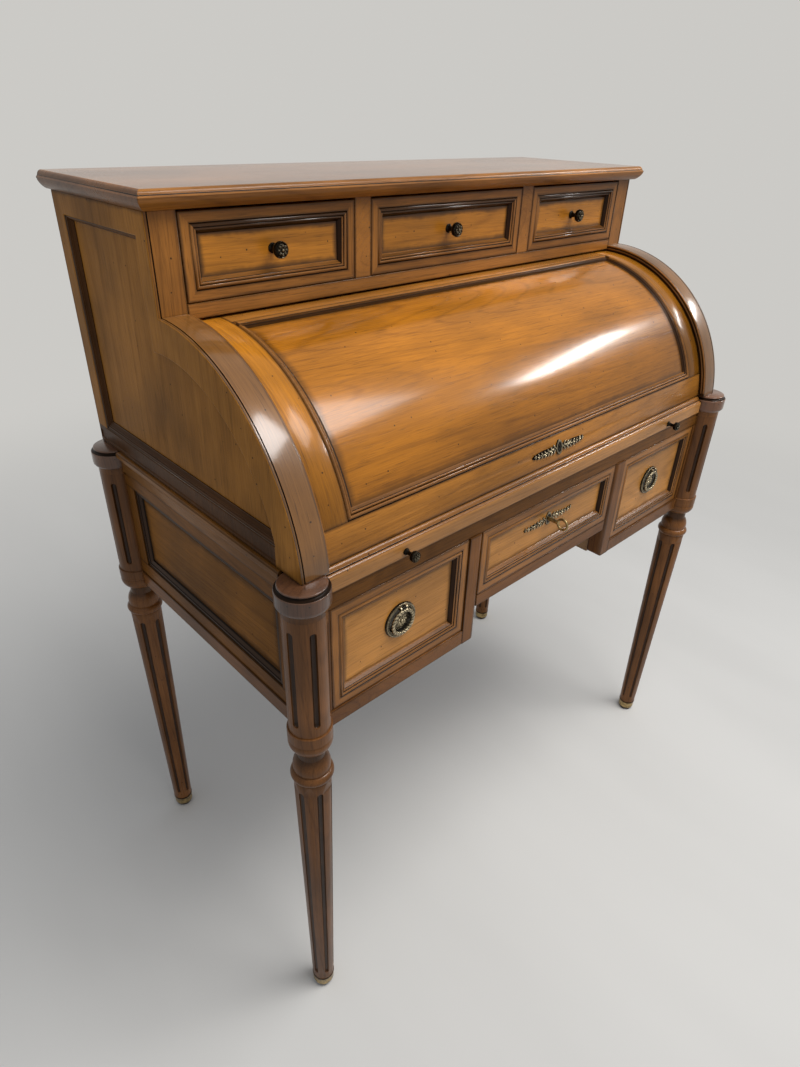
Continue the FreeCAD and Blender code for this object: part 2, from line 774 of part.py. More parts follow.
slide_face = front_y - S.slide_front_proud
slide_half = S.leg_x - S.cap_radius - S.drawer_gap
slide_back = slide_face + S.slide_front_depth
reed_rise = (S.slide_height - S.slide_flat) / 2
reed_in = S.slide_front_depth * 0.31
node("slide_front", run_along_x(
    "slide_front_strip",
    [
        (size(0), size(0)),
        (size(0), S.slide_flat),
        (reed_in, S.slide_flat + reed_rise, S.reed_radius, -1),
        (reed_in * 2, S.slide_height, S.reed_radius, -1),
        (S.slide_front_depth, S.slide_height),
        (S.slide_front_depth, size(0)),
    ],
    (-slide_half, slide_half),
    slide_face,
    slide_bottom,
))
node("writing_board", board(
    "writing_board_blank",
    (-slide_board_half, slide_board_half),
    (slide_back, slide_back + S.slide_board_length),
    (slide_top - S.slide_board_thickness, slide_top),
))


def knob(name, radius, length, x, y, z):
    """A turned knob on a slim stem with a foot plate, pointing to the front."""
    foot = radius * 0.62
    stem = radius * 0.36
    rim = length * 0.5
    corners = [
        (size(0), size(0)),
        (foot, size(0)),
        (foot, length * 0.1),
        (stem, length * 0.2, length * 0.2, -1),
        (stem, length * 0.4),
        (radius, rim + length * 0.12, radius * 0.9, -1),
        (radius, rim + length * 0.24),
        (radius * 0.55, length, radius * 0.8, 1),
        (size(0), length),
    ]
    return turned(name, corners, x, y, z, (1, 0, 0), 90)


node("slide_knobs", *[
    knob(
        "slide_knob_" + side_name,
        S.slide_knob_radius,
        S.slide_knob_length,
        S.slide_knob_x * side,
        slide_face,
        slide_bottom + S.slide_flat / 2,
    )
    for side_name, side in sides
])


# Gables: a thick frame with a quarter-round front, and a recessed panel

def closed_arch(radius, low, front, top, back):
    """A quarter-round outline about the cylinder axis, in (back, up) from that axis."""
    low_y = -root(radius * radius - low * low)
    arch_end = root(radius * radius - front * front)
    return [
        (low_y, low, radius, 1),
        (back, low),
        (back, top),
        (front, top),
        (front, arch_end),
    ]


def plate(name, corners, x):
    return run_along_x(name, corners, x, S.pivot_back, pivot_z)


rim_low = waist - pivot_z
rim_corners = closed_arch(rim_radius, rim_low, size(0), slab_bottom - pivot_z, gable_back - S.pivot_back)
panel_corners = closed_arch(
    rim_radius - S.gable_arch_rail,
    rim_low + S.gable_bottom_rail,
    S.gable_front_stile,
    slab_bottom - pivot_z - S.gable_top_rail,
    gable_back - S.pivot_back - S.gable_back_stile,
)
gable_panels = []
pocket_depth = S.panel_recess + S.panel_thickness
for side_name, side in sides:
    gable = plate("gable_blank_" + side_name, rim_corners, mirrored(side, side_inner, gable_outer))
    hollow_x = mirrored(side, gable_outer - pocket_depth, gable_outer)
    hollow = plate("gable_hollow_" + side_name, panel_corners, hollow_x)
    node("gable_" + side_name, cut("gable_cut_" + side_name, gable, hollow))
    panel_x = mirrored(side, gable_outer - pocket_depth, gable_outer - S.panel_recess)
    gable_panels.append(plate("gable_panel_" + side_name, panel_corners, panel_x))
node("gable_panels", *gable_panels)

node("upper_back", board(
    "upper_back_board",
    (-side_inner, side_inner),
    (case_back, gable_back),
    (waist, slab_bottom),
))
node("case_rail", board(
    "case_rail_board",
    (-side_inner, side_inner),
    (case_front, case_front + S.case_rail_depth),
    (case_bottom_z, case_rail_top),
))
node("case_floor", board(
    "case_floor_board",
    (-side_inner, side_inner),
    (case_front + S.case_rail_depth, case_back),
    (case_rail_top - S.floor_thickness, case_rail_top),
))
half_centre = S.upper_drawer_centre / 2
node("case_dividers", *[
    board(
        "case_divider_" + side_name,
        mirrored(side, half_centre, half_centre + S.divider_width),
        (case_front, case_back),
        (case_rail_top, slab_bottom),
    )
    for side_name, side in sides
])


# Top slab: a small round above, a step, and an edge drawn in below

slab_half = gable_outer + S.slab_side_reach
slab_front = case_front - S.slab_front_reach
slab_back = S.leg_y + S.cap_radius


def slab_edge(reach):
    """The slab's section from its outer edge inwards: (in, up), as far as reach."""
    step = S.slab_edge
    return [
        (S.slab_under, size(0)),
        (S.slab_sink / 2, S.slab_thickness * 0.45, S.slab_thickness * 0.95, -1),
        (size(0), S.slab_thickness - step - S.slab_sink),
        (S.slab_sink, S.slab_thickness - step),
        (S.slab_sink + step, S.slab_thickness, step * 1.05, -1),
        (reach, S.slab_thickness),
        (reach, size(0)),
    ]


front_to_back = slab_back - slab_front
side_to_side = slab_half * 2
slab_x = (-slab_half, slab_half)
slab_y = (slab_front, slab_back)
front_run = run_along_x("slab_front_run", slab_edge(front_to_back), slab_x, slab_front, slab_bottom)
left_run = run_along_y("slab_left_run", slab_edge(side_to_side), -slab_half, slab_y, slab_bottom)
right_edge = [
    (-corner[0], corner[1]) + ((corner[2], 1) if len(corner) > 2 else ())
    for corner in slab_edge(side_to_side)
]
right_run = run_along_y("slab_right_run", right_edge, slab_half, slab_y, slab_bottom)
slab = doc.addObject("Part::MultiCommon", "slab")
slab.Shapes = [front_run, left_run, right_run]
node("top_slab", slab)


# Cylinder: a rigid quarter-round shell on two quadrant arms

def sector(name, x, inner, outer, low, high):
    """A curved board about the cylinder axis, between two radii and two angles above the front."""
    corners = [
        (-inner * cosine(high), inner * sine(high)),
        (-inner * cosine(low), inner * sine(low), inner, 1),
        (-outer * cosine(low), outer * sine(low)),
        (-outer * cosine(high), outer * sine(high), outer, -1),
    ]
    return plate(name, corners, x)


stile_near = cylinder_half - S.cylinder_stile
panel_half = stile_near - S.moulding_width
panel_outer = cylinder_radius - S.cylinder_panel_sink
moulding_outer = cylinder_radius - S.moulding_sink
panel_low = S.bottom_rail_angle + S.moulding_angle
panel_high = S.top_rail_angle - S.moulding_angle
node("cylinder_panel", sector(
    "cylinder_panel_shell",
    (-panel_half, panel_half),
    panel_outer - S.cylinder_panel_thickness,
    panel_outer,
    panel_low,
    panel_high,
))
node("cylinder_stiles", *[
    sector(
        "cylinder_stile_" + side_name,
        mirrored(side, stile_near, cylinder_half),
        cylinder_inner,
        cylinder_radius,
        S.bottom_rail_angle,
        S.cylinder_high_angle,
    )
    for side_name, side in sides
])
key_hole = rod("lock_hole", S.key_radius, S.cylinder_thickness * 3, size(0), size(0), size(0), (1, 0, 0), 90)
escutcheon_angle = (S.cylinder_low_angle + S.bottom_rail_angle) / 2
hole_reach = cylinder_inner - S.cylinder_thickness
key_hole.Placement.Rotation = FreeCAD.Rotation(FreeCAD.Vector(1, 0, 0), 90 - escutcheon_angle.value)
key_hole.setExpression("Placement.Rotation.Angle", "90 - " + escutcheon_angle.text)
bind(key_hole, "Placement.Base.y", S.pivot_back - hole_reach * cosine(escutcheon_angle))
bind(key_hole, "Placement.Base.z", pivot_z + hole_reach * sine(escutcheon_angle))
bottom_rail = sector(
    "cylinder_bottom_rail_blank",
    (-cylinder_half, cylinder_half),
    cylinder_inner,
    cylinder_radius,
    S.cylinder_low_angle,
    S.bottom_rail_angle,
)
top_rail = sector(
    "cylinder_top_rail",
    (-stile_near, stile_near),
    cylinder_inner,
    cylinder_radius,
    S.top_rail_angle,
    S.cylinder_high_angle,
)
node("cylinder_rails", cut("cylinder_bottom_rail", bottom_rail, key_hole), top_rail)
moulding_inner = panel_outer - S.cylinder_panel_thickness
node(
    "cylinder_moulding",
    sector(
        "moulding_low",
        (-stile_near, stile_near),
        moulding_inner,
        moulding_outer,
        S.bottom_rail_angle,
        panel_low,
    ),
    sector(
        "moulding_high",
        (-stile_near, stile_near),
        moulding_inner,
        moulding_outer,
        panel_high,
        S.top_rail_angle,
    ),
    *[
        sector(
            "moulding_" + side_name,
            mirrored(side, panel_half, stile_near),
            moulding_inner,
            moulding_outer,
            panel_low,
            panel_high,
        )
        for side_name, side in sides
    ],
)
arms = []
pins = []
for side_name, side in sides:
    arm_x = mirrored(side, arm_near, cylinder_half)
    wing = sector(
        "arm_wing_" + side_name,
        arm_x,
        S.pin_radius,
        cylinder_inner,
        S.arm_low_angle,
        S.arm_high_angle,
    )
    hub = axis_rod("arm_hub_" + side_name, S.hub_radius, arm_x)
    bore = axis_rod("arm_bore_" + side_name, S.pin_radius + S.pin_fit, arm_x)
    arms.append(cut("arm_" + side_name, fuse("arm_blank_" + side_name, wing, hub), bore))
    pin_x = mirrored(side, arm_near, side_inner + S.pin_seat)
    pins.append(axis_rod("pin_" + side_name, S.pin_radius, pin_x))
node("quadrant_arms", *arms)
node("pivot_pins", *pins)
half_plate_angle = (S.bottom_rail_angle - S.cylinder_low_angle) * 0.3
plate_gap = S.pin_fit
escutcheon_half = S.escutcheon_width / 2
node("cylinder_escutcheon", cut(
    "cylinder_escutcheon_cut",
    sector(
        "cylinder_escutcheon_plate",
        (-escutcheon_half, escutcheon_half),
        cylinder_radius + plate_gap,
        cylinder_radius + S.escutcheon_thickness,
        escutcheon_angle - half_plate_angle,
        escutcheon_angle + half_plate_angle,
    ),
    key_hole,
))
node("cylinder_lock", cut(
    "cylinder_lock_cut",
    sector(
        "cylinder_lock_case",
        (-S.lock_width / 2, S.lock_width / 2),
        cylinder_inner - S.lock_depth,
        cylinder_inner - plate_gap,
        S.cylinder_low_angle + half_plate_angle / 2,
        S.bottom_rail_angle - half_plate_angle / 2,
    ),
    key_hole,
))


# Drawers

def drawer_front(name, x, z, face, holes=()):
    """A framed front with a stepped moulding and a recessed panel."""
    body = new_body(name + "_blank")
    base = sketch_on(body, "XZ_Plane", name + "_border")
    outline(base, rectangle(x, z))
    pad = body.newObject("PartDesign::Pad", name + "_thickness")
    pad.Profile = base
    pad.Reversed = True
    bind(pad, "Length", S.front_thickness)
    for step, inset, depth in (
        ("moulding", S.front_frame, S.front_step),
        ("panel", S.front_frame + S.front_moulding, S.front_recess),
    ):
        sketch = sketch_on(body, "XZ_Plane", "%s_%s" % (name, step))
        outline(sketch, rectangle(shrunk(x, inset), shrunk(z, inset)))
        pocket = body.newObject("PartDesign::Pocket", "%s_%s_recess" % (name, step))
        pocket.Profile = sketch
        bind(pocket, "Length", depth)
    place(body, size(0), face, size(0))
    front = body
    for number, hole in enumerate(holes):
        front = cut("%s_hole_%d" % (name, number), front, hole)
    return node(name, front)


def drawer_box(name, x, z, face, back):
    """Two sides, a back and a bottom behind the front; open at the top."""
    box_x = shrunk(x, S.box_side_gap)
    box_y = (face + S.front_thickness, back - S.box_back_gap)
    low = z[0] - S.drawer_gap + S.run_gap
    high = z[1] - S.box_top_gap
    inner_x = shrunk(box_x, S.box_wall)
    return node(
        name,
        board(name + "_left", (box_x[0], inner_x[0]), box_y, (low, high)),
        board(name + "_right", (inner_x[1], box_x[1]), box_y, (low, high)),
        board(name + "_back", inner_x, (box_y[1] - S.box_wall, box_y[1]), (low, high)),
        board(name + "_bottom", inner_x, (box_y[0], box_y[1] - S.box_wall), (low, low + S.box_floor)),
    )


upper_z = (upper_drawer_bottom, upper_drawer_top)
upper_far = side_inner - S.drawer_gap
upper_near = half_centre + S.divider_width + S.drawer_gap
upper_spans = {
    "left": mirrored(-1, upper_near, upper_far),
    "centre": (-half_centre + S.drawer_gap, half_centre - S.drawer_gap),
    "right": mirrored(1, upper_near, upper_far),
}
for place_name, span in upper_spans.items():
    drawer_front("upper_drawer_front_" + place_name, span, upper_z, case_front)
    drawer_box("upper_drawer_box_" + place_name, span, upper_z, case_front, case_back)
    node("upper_drawer_knob_" + place_name, knob(
        "upper_knob_" + place_name,
        S.knob_radius,
        S.knob_length,
        (span[0] + span[1]) / 2,
        case_front + S.front_recess,
        (upper_z[0] + upper_z[1]) / 2,
    ))

lower_z = (base_rail_top + S.drawer_gap, lower_drawer_top)
centre_z = (knee_floor_top + S.drawer_gap, lower_drawer_top)
lower_near = pedestal_inner + S.drawer_gap
centre_span = (-S.knee_half_width + S.drawer_gap, S.knee_half_width - S.drawer_gap)
key_z = lower_drawer_top - S.key_drop
panel_face = front_y + S.front_recess
key_tip = lock_face + S.lock_depth
key_front = panel_face - S.escutcheon_thickness - S.key_reach
key_length = key_tip - key_front


def key_room(name):
    """The hole that the key turns in."""
    return rod(name, S.key_radius + S.pin_fit, key_length, size(0), key_tip, key_z, (1, 0, 0), 90)


for side_name, side in sides:
    span = mirrored(side, lower_near, drawer_end)
    drawer_front("lower_drawer_front_" + side_name, span, lower_z, front_y)
    drawer_box("lower_drawer_box_" + side_name, span, lower_z, front_y, lower_back_y)
drawer_front("lower_drawer_front_centre", centre_span, centre_z, front_y, [key_room("front_key_room")])
drawer_box("lower_drawer_box_centre", centre_span, centre_z, front_y, lower_back_y)


# Ring pulls: a stepped back plate with two ears, and a ring on a pin between them

ear_radius = S.pull_pin_radius + S.ear_wall
ear_near = S.knuckle_half + S.run_gap
pin_half = ear_near + S.ear_width
pin_y = panel_face - S.plate_thickness - S.pull_gap - S.pull_wire
pull_z = (lower_z[0] + lower_z[1]) / 2
pin_z = pull_z + S.pull_pin_rise
wire_top = pin_z - S.pull_hang
for side_name, side in sides:
    span = mirrored(side, lower_near, drawer_end)
    pull_x = (span[0] + span[1]) / 2

    def across(name, radius, half):
        """A rod along the hinge of this pull."""
        return rod("%s_%s" % (name, side_name), radius, half * 2, pull_x - half, pin_y, pin_z, (0, 1, 0), 90)

    disc = turned(
        "pull_plate_disc_" + side_name,
        [
            (size(0), size(0)),
            (S.plate_radius, size(0)),
            (S.plate_radius, S.plate_thickness * 0.4),
            (S.plate_radius * 0.88, S.plate_thickness),
            (S.plate_radius * 0.8, S.plate_thickness * 0.75),
            (S.plate_radius * 0.5, S.plate_thickness * 0.75),
            (S.plate_radius * 0.34, S.plate_thickness),
            (size(0), S.plate_thickness),
        ],
        pull_x,
        panel_face,
        pull_z,
        (1, 0, 0),
        90,
    )
    strap = board(
        "pull_strap_" + side_name,
        (pull_x - pin_half, pull_x + pin_half),
        (pin_y, panel_face - S.plate_thickness / 2),
        (pin_z - ear_radius, pin_z + ear_radius),
    )
    gap = board(
        "pull_strap_gap_" + side_name,
        (pull_x - ear_near, pull_x + ear_near),
        (pin_y - S.plate_radius, panel_face - S.plate_thickness),
        (pin_z - S.plate_radius, pin_z + S.plate_radius),
    )
    ear_rounds = across("pull_ear_rounds", ear_radius, pin_half)
    pin_room = across("pull_pin_hole", S.pull_pin_radius + S.pin_fit, pin_half)
    ears = fuse("pull_ears_" + side_name, disc, strap, ear_rounds)
    hollow = fuse("pull_ear_cuts_" + side_name, gap, pin_room)
    node("pull_plate_" + side_name, cut("pull_plate_cut_" + side_name, ears, hollow))
    ring = doc.addObject("Part::Torus", "pull_wire_" + side_name)
    bind(ring, "Radius1", S.pull_radius)
    bind(ring, "Radius2", S.pull_wire)
    place(ring, pull_x, pin_y, wire_top - S.pull_radius, (1, 0, 0), 90)
    tab = board(
        "pull_tab_" + side_name,
        (pull_x - S.knuckle_half / 2, pull_x + S.knuckle_half / 2),
        (pin_y - S.pull_pin_radius, pin_y + S.pull_pin_radius),
        (wire_top, pin_z),
    )
    node("pull_ring_" + side_name, fuse(
        "pull_ring_blank_" + side_name,
        ring,
        tab,
        across("pull_knuckle", ear_radius, S.knuckle_half),
        across("pull_pin", S.pull_pin_radius, pin_half),
    ))


# Centre drawer lock: escutcheon, lock case, bolt and key

escutcheon_z = (key_z - S.escutcheon_height / 2, key_z + S.escutcheon_height / 2)
node("drawer_escutcheon", cut(
    "drawer_escutcheon_cut",
    board(
        "drawer_escutcheon_plate",
        (-escutcheon_half, escutcheon_half),
        (panel_face - S.escutcheon_thickness, panel_face),
        escutcheon_z,
    ),
    key_room("escutcheon_key_room"),
))
lock_top = lower_drawer_top
bolt_z = (lock_top - S.bolt_height, lock_top)
lock_case = board(
    "drawer_lock_case",
    (-S.lock_width / 2, S.lock_width / 2),
    (lock_face, lock_face + S.lock_depth),
    (key_z - S.lock_height / 2, lock_top),
)
bolt_slot = board(
    "bolt_slot",
    shrunk(bolt_x, -S.bolt_gap),
    shrunk(bolt_y, -S.bolt_gap),
    (bolt_z[0] - S.run_gap, lock_top),
)
lock_rooms = fuse("lock_rooms", bolt_slot, key_room("lock_key_room"))
node("drawer_lock", cut("drawer_lock_cut", lock_case, lock_rooms))
node("lock_bolt", board("lock_bolt_bar", bolt_x, bolt_y, bolt_z))
shank = rod("key_shank", S.key_radius, key_length, size(0), key_tip, key_z, (1, 0, 0), 90)
bow = doc.addObject("Part::Torus", "key_bow")
bind(bow, "Radius1", S.key_bow_radius)
bind(bow, "Radius2", S.key_bow_wire)
place(bow, size(0), key_front - S.key_bow_radius + S.key_bow_wire / 2, key_z, (0, 1, 0), 90)
node("key", fuse("key_blank", shank, bow))


# Gallery: pigeonholes over the writing board, standing on the slide bed beside it

gallery_y = (S.pivot_back + S.gallery_front, S.pivot_back + S.gallery_front + S.gallery_depth)
gallery_low = waist + S.run_gap * 3
gallery_high = waist + S.gallery_height
cell_z = (gallery_low + S.gallery_board, gallery_high - S.gallery_board)
gallery_x = (-gallery_inner, gallery_inner)
gallery = [
    board("gallery_floor", gallery_x, gallery_y, (gallery_low, cell_z[0])),
    board("gallery_top", gallery_x, gallery_y, (cell_z[1], gallery_high)),
]
cell_back = gallery_y[1] - S.gallery_board
for side_name, side in sides:
    cheek_x = mirrored(side, gallery_inner, gallery_half)
    gallery.append(board("gallery_cheek_" + side_name, cheek_x, gallery_y, (bed_top, gallery_high)))
    wall_x = mirrored(side, S.gallery_cell, S.gallery_cell + S.gallery_board)
    gallery.append(board("gallery_wall_" + side_name, wall_x, (gallery_y[0], cell_back), cell_z))
gallery.append(board("gallery_back", gallery_x, (cell_back, gallery_y[1]), cell_z))
node("gallery", *gallery)


# Build, check and write

doc.recompute()
faults = []
for thing in doc.Objects:
    if "Invalid" in thing.State or "Error" in thing.State:
        faults.append("%s is %s" % (thing.Name, thing.State))
for label, piece in NODES.items():
    if piece.Shape.isNull() or not piece.Shape.isValid() or not piece.Shape.Solids:
        faults.append("%s has no sound shape" % label)
if faults:
    raise RuntimeError("; ".join(faults))
os.makedirs("parts", exist_ok=True)
for label, piece in NODES.items():
    piece.Shape.exportStep(os.path.join("parts", label + ".step"))
print("%d sub-parts, %.1f mm high" % (len(NODES), slab_top.value))
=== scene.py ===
# %% [markdown]
# # A cylinder desk, dressed
#
# The solids of the desk come from a CAD model. Here they get their looks: stained cherry under a glossy
# varnish, dark wax in the hollows, cast bronze mounts and brass feet. The CAD model is loaded first and
# is never moved. A piece made here stands in for a CAD node, and rides on the same body as that node.

# %% Load the frame
import bmesh
import bpy
import json
import math
from mathutils import Matrix, Vector

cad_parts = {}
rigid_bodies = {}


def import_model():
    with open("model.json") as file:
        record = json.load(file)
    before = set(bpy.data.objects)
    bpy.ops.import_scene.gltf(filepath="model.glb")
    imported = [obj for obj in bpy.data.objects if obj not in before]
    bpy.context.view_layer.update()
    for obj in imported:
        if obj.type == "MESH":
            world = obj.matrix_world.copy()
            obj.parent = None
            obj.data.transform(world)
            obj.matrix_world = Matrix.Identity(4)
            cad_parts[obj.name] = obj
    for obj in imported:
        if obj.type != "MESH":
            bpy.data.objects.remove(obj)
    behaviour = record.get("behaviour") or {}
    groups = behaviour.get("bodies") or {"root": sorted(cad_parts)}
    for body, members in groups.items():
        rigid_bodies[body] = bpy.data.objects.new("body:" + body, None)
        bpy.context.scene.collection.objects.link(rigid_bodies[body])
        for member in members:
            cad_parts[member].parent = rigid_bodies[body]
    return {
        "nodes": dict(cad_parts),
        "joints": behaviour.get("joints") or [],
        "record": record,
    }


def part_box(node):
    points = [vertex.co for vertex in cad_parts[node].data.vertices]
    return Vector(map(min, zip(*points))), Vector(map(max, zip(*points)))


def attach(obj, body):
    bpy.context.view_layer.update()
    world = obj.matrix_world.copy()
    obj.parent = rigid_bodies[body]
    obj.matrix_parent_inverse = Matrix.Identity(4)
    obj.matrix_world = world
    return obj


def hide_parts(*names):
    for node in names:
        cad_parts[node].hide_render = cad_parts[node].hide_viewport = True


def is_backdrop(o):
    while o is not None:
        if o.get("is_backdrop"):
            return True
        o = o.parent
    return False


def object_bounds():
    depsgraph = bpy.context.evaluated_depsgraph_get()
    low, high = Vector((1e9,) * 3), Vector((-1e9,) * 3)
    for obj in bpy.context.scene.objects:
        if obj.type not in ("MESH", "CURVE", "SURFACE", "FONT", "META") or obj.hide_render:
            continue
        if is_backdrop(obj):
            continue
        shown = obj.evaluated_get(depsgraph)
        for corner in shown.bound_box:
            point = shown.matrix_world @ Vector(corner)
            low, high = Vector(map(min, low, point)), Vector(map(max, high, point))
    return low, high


for leftover in list(bpy.data.objects):
    bpy.data.objects.remove(leftover)
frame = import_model()
cad_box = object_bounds()
scene = bpy.context.scene
bodies = frame["record"]["behaviour"]["bodies"]
body_of_node = {node: body for body, nodes in bodies.items() for node in nodes}
slot_of_node = {row["node"]: row["material_slot"] for row in frame["record"]["subparts"]}
print(len(frame["nodes"]), "nodes, from", cad_box[0], "to", cad_box[1])

# %% [markdown]
# ## The camera
#
# The photograph was taken from the left front, a little above the top, with a wide lens. The camera
# could be placed by eye, but it takes a point, three angles and a focal length that were fitted to the
# desk's own edges.

# %% Camera
PHOTO_HEIGHT = 1067
FOCAL_PIXELS = 698.25
SENSOR = 36
YAW = 0.770
PITCH = 0.544
ROLL = 0.032
viewpoint = Vector((-0.77485, -0.70575, 1.16985))
forward = Vector((math.sin(YAW) * math.cos(PITCH), math.cos(YAW) * math.cos(PITCH), -math.sin(PITCH)))
level_right = Vector((math.cos(YAW), -math.sin(YAW), 0))
level_up = level_right.cross(forward)
camera_right = level_right * math.cos(ROLL) + level_up * math.sin(ROLL)
camera_up = level_up * math.cos(ROLL) - level_right * math.sin(ROLL)
camera_data = bpy.data.cameras.new("photo_view")
camera_data.sensor_width = SENSOR
camera_data.lens = FOCAL_PIXELS / PHOTO_HEIGHT * SENSOR
camera = bpy.data.objects.new("photo_view", camera_data)
scene.collection.objects.link(camera)
turn = Matrix((camera_right, camera_up, -forward)).transposed().to_4x4()
camera.matrix_world = Matrix.Translation(viewpoint) @ turn
scene.camera = camera
print("lens", round(camera_data.lens, 2), "mm")

# %% [markdown]
# ## Helpers for shader nodes
#
# A finish on the real desk is a pile of thin layers: stain, grain, wax and varnish. In Blender each
# layer is a few linked shader nodes. They could be placed by hand in the node editor. As small
# functions, a layer takes a line, and every finish can use it again. Most noise lies between 0.3 and
# 0.7, so one helper spreads that band over the range that a layer needs.

# %% Helpers for single nodes
NOISE_LOW, NOISE_HIGH = 0.3, 0.7


def add(tree, kind, **settings):
    """A shader node with its settings."""
    made = tree.nodes.new("ShaderNode" + kind)
    for key, value in settings.items():
        setattr(made, key, value)
    return made


def feed(tree, socket, value):
    """Links a socket to another one, or sets it to a plain value."""
    if isinstance(value, bpy.types.NodeSocket):
        tree.links.new(value, socket)
    else:
        socket.default_value = value


def reckon(tree, operation, first, second=0.0, third=0.0, clamp=False):
    """A step of arithmetic; returns its result."""
    step = add(tree, "Math", operation=operation, use_clamp=clamp)
    for socket, value in zip(step.inputs, (first, second, third)):
        feed(tree, socket, value)
    return step.outputs[0]


def stretch(tree, value, low, high, to_low=0.0, to_high=1.0):
    """Maps low..high smoothly to another range."""
    step = add(tree, "MapRange", interpolation_type="SMOOTHSTEP")
    feed(tree, step.inputs["Value"], value)
    feed(tree, step.inputs["From Min"], low)
    feed(tree, step.inputs["From Max"], high)
    feed(tree, step.inputs["To Min"], to_low)
    feed(tree, step.inputs["To Max"], to_high)
    return step.outputs["Result"]


def spread(tree, noise, to_low=0.0, to_high=1.0):
    """Spreads the band where most noise lies over a range."""
    return stretch(tree, noise, NOISE_LOW, NOISE_HIGH, to_low, to_high)


def blend(tree, share, first, second, kind="MIX"):
    """A mix of two colours."""
    mixer = add(tree, "Mix", data_type="RGBA", blend_type=kind)
    feed(tree, mixer.inputs["Factor"], share)
    feed(tree, mixer.inputs["A"], first)
    feed(tree, mixer.inputs["B"], second)
    return mixer.outputs["Result"]


def cloud(tree, place, scales, detail=2.0, roughness=0.5, distortion=0.0):
    """A noise that is finer or coarser along each direction."""
    scaled = add(tree, "VectorMath", operation="MULTIPLY")
    feed(tree, scaled.inputs[0], place)
    feed(tree, scaled.inputs[1], scales)
    noise = add(tree, "TexNoise")
    feed(tree, noise.inputs["Vector"], scaled.outputs[0])
    feed(tree, noise.inputs["Scale"], 1.0)
    feed(tree, noise.inputs["Detail"], detail)
    feed(tree, noise.inputs["Roughness"], roughness)
    feed(tree, noise.inputs["Distortion"], distortion)
    return noise.outputs["Fac"]


print("noise is spread from", NOISE_LOW, "to", NOISE_HIGH)

# %% Helpers for whole trees


def seen_rays(tree):
    """1 for rays that the eye sees, straight or mirrored, and 0 for rays that only carry light."""
    path = add(tree, "LightPath")
    share = path.outputs["Is Camera Ray"]
    for kind in ("Is Glossy Ray", "Is Transmission Ray"):
        share = reckon(tree, "MAXIMUM", share, path.outputs[kind])
    return share


def mix_shaders(tree, share, first, second, output):
    """Mixes two shaders by a share and leads them to the tree's output."""
    mixer = add(tree, "MixShader")
    feed(tree, mixer.inputs["Fac"], share)
    feed(tree, mixer.inputs[1], first.outputs[0])
    feed(tree, mixer.inputs[2], second.outputs[0])
    feed(tree, add(tree, output).inputs[0], mixer.outputs[0])


def new_group(name, inputs, outputs):
    """A node group with float inputs (label, value) and float outputs."""
    group = bpy.data.node_groups.new(name, "ShaderNodeTree")
    for label, value in inputs:
        socket = group.interface.new_socket(label, in_out="INPUT", socket_type="NodeSocketFloat")
        socket.default_value = value
    for label in outputs:
        group.interface.new_socket(label, in_out="OUTPUT", socket_type="NodeSocketFloat")
    return group, group.nodes.new("NodeGroupInput"), group.nodes.new("NodeGroupOutput")


def use_group(tree, group, **values):
    """Places a group in a material with its own values."""
    placed = add(tree, "Group", node_tree=group)
    for label, value in values.items():
        feed(tree, placed.inputs[label.replace("_", " ")], value)
    return placed


print("helpers for rays, mixed shaders and node groups")

# %% [markdown]
# ## Light
#
# The room has a window to the right of the desk, which draws the long highlight on the cylinder, and a
# bright doorway, which draws the softer ones. One strong lamp could do it all, but then the pale
# surfaces would burn out wherever it has to be seen as a highlight. So two lamps only give the
# highlights, and two others, left out of reflections, light the wood evenly. The pale room itself is the
# world's background.

# %% Light
scene.view_settings.view_transform = "Standard"
PALE_ROOM = (0.60, 0.59, 0.565, 1)
ROOM_GLOW = (0.95, 0.97, 1, 1)
GLOW_STRENGTH = 0.42


def soft_lamp(name, place, target, size, watts, colour, highlight):
    """An area lamp that faces a point. It gives highlights alone, or light without highlights."""
    data = bpy.data.lights.new(name, "AREA")
    data.shape = "RECTANGLE"
    data.size, data.size_y = size
    data.energy = watts
    data.color = colour
    lamp = bpy.data.objects.new(name, data)
    lamp.location = place
    lamp.rotation_mode = "QUATERNION"
    lamp.rotation_quaternion = (Vector(target) - Vector(place)).to_track_quat("-Z", "Y")
    lamp.visible_glossy = highlight
    lamp.visible_diffuse = not highlight
    scene.collection.objects.link(lamp)
    return lamp


lamps = (
    soft_lamp("window", (2.21, -1.16, 2.05), (0.08, -0.25, 0.88), (0.66, 0.15), 17, (1, 0.99, 0.97), True),
    soft_lamp("door", (0.96, -1.31, 2.78), (-0.3, -0.1, 0.85), (0.9, 0.84), 29, (1, 0.99, 0.98), True),
    soft_lamp("ceiling_light", (1, -1.35, 2.7), (-0.2, -0.1, 0.85), (1.2, 1.3), 21, (1, 0.98, 0.95), False),
    soft_lamp("room_light", (0.3, -0.9, 3.1), (0, 0, 0.7), (1.8, 1.5), 62, (1, 0.97, 0.93), False),
)
world = bpy.data.worlds.new("room")
scene.world = world
world.use_nodes = True
sky = world.node_tree
sky.nodes.clear()
glow = add(sky, "Background")
glow.inputs["Color"].default_value = ROOM_GLOW
glow.inputs["Strength"].default_value = GLOW_STRENGTH
backdrop = add(sky, "Background")
backdrop.inputs["Color"].default_value = PALE_ROOM
mix_shaders(sky, seen_rays(sky), glow, backdrop, "OutputWorld")
print(len(lamps), "lamps and a pale room")

# %% [markdown]
# ## Floor
#
# The desk stands on a plain pale floor that keeps its shadow. A floor that ended somewhere would show a
# horizon in the other views, so it fades into the colour of the room with the distance from the desk.

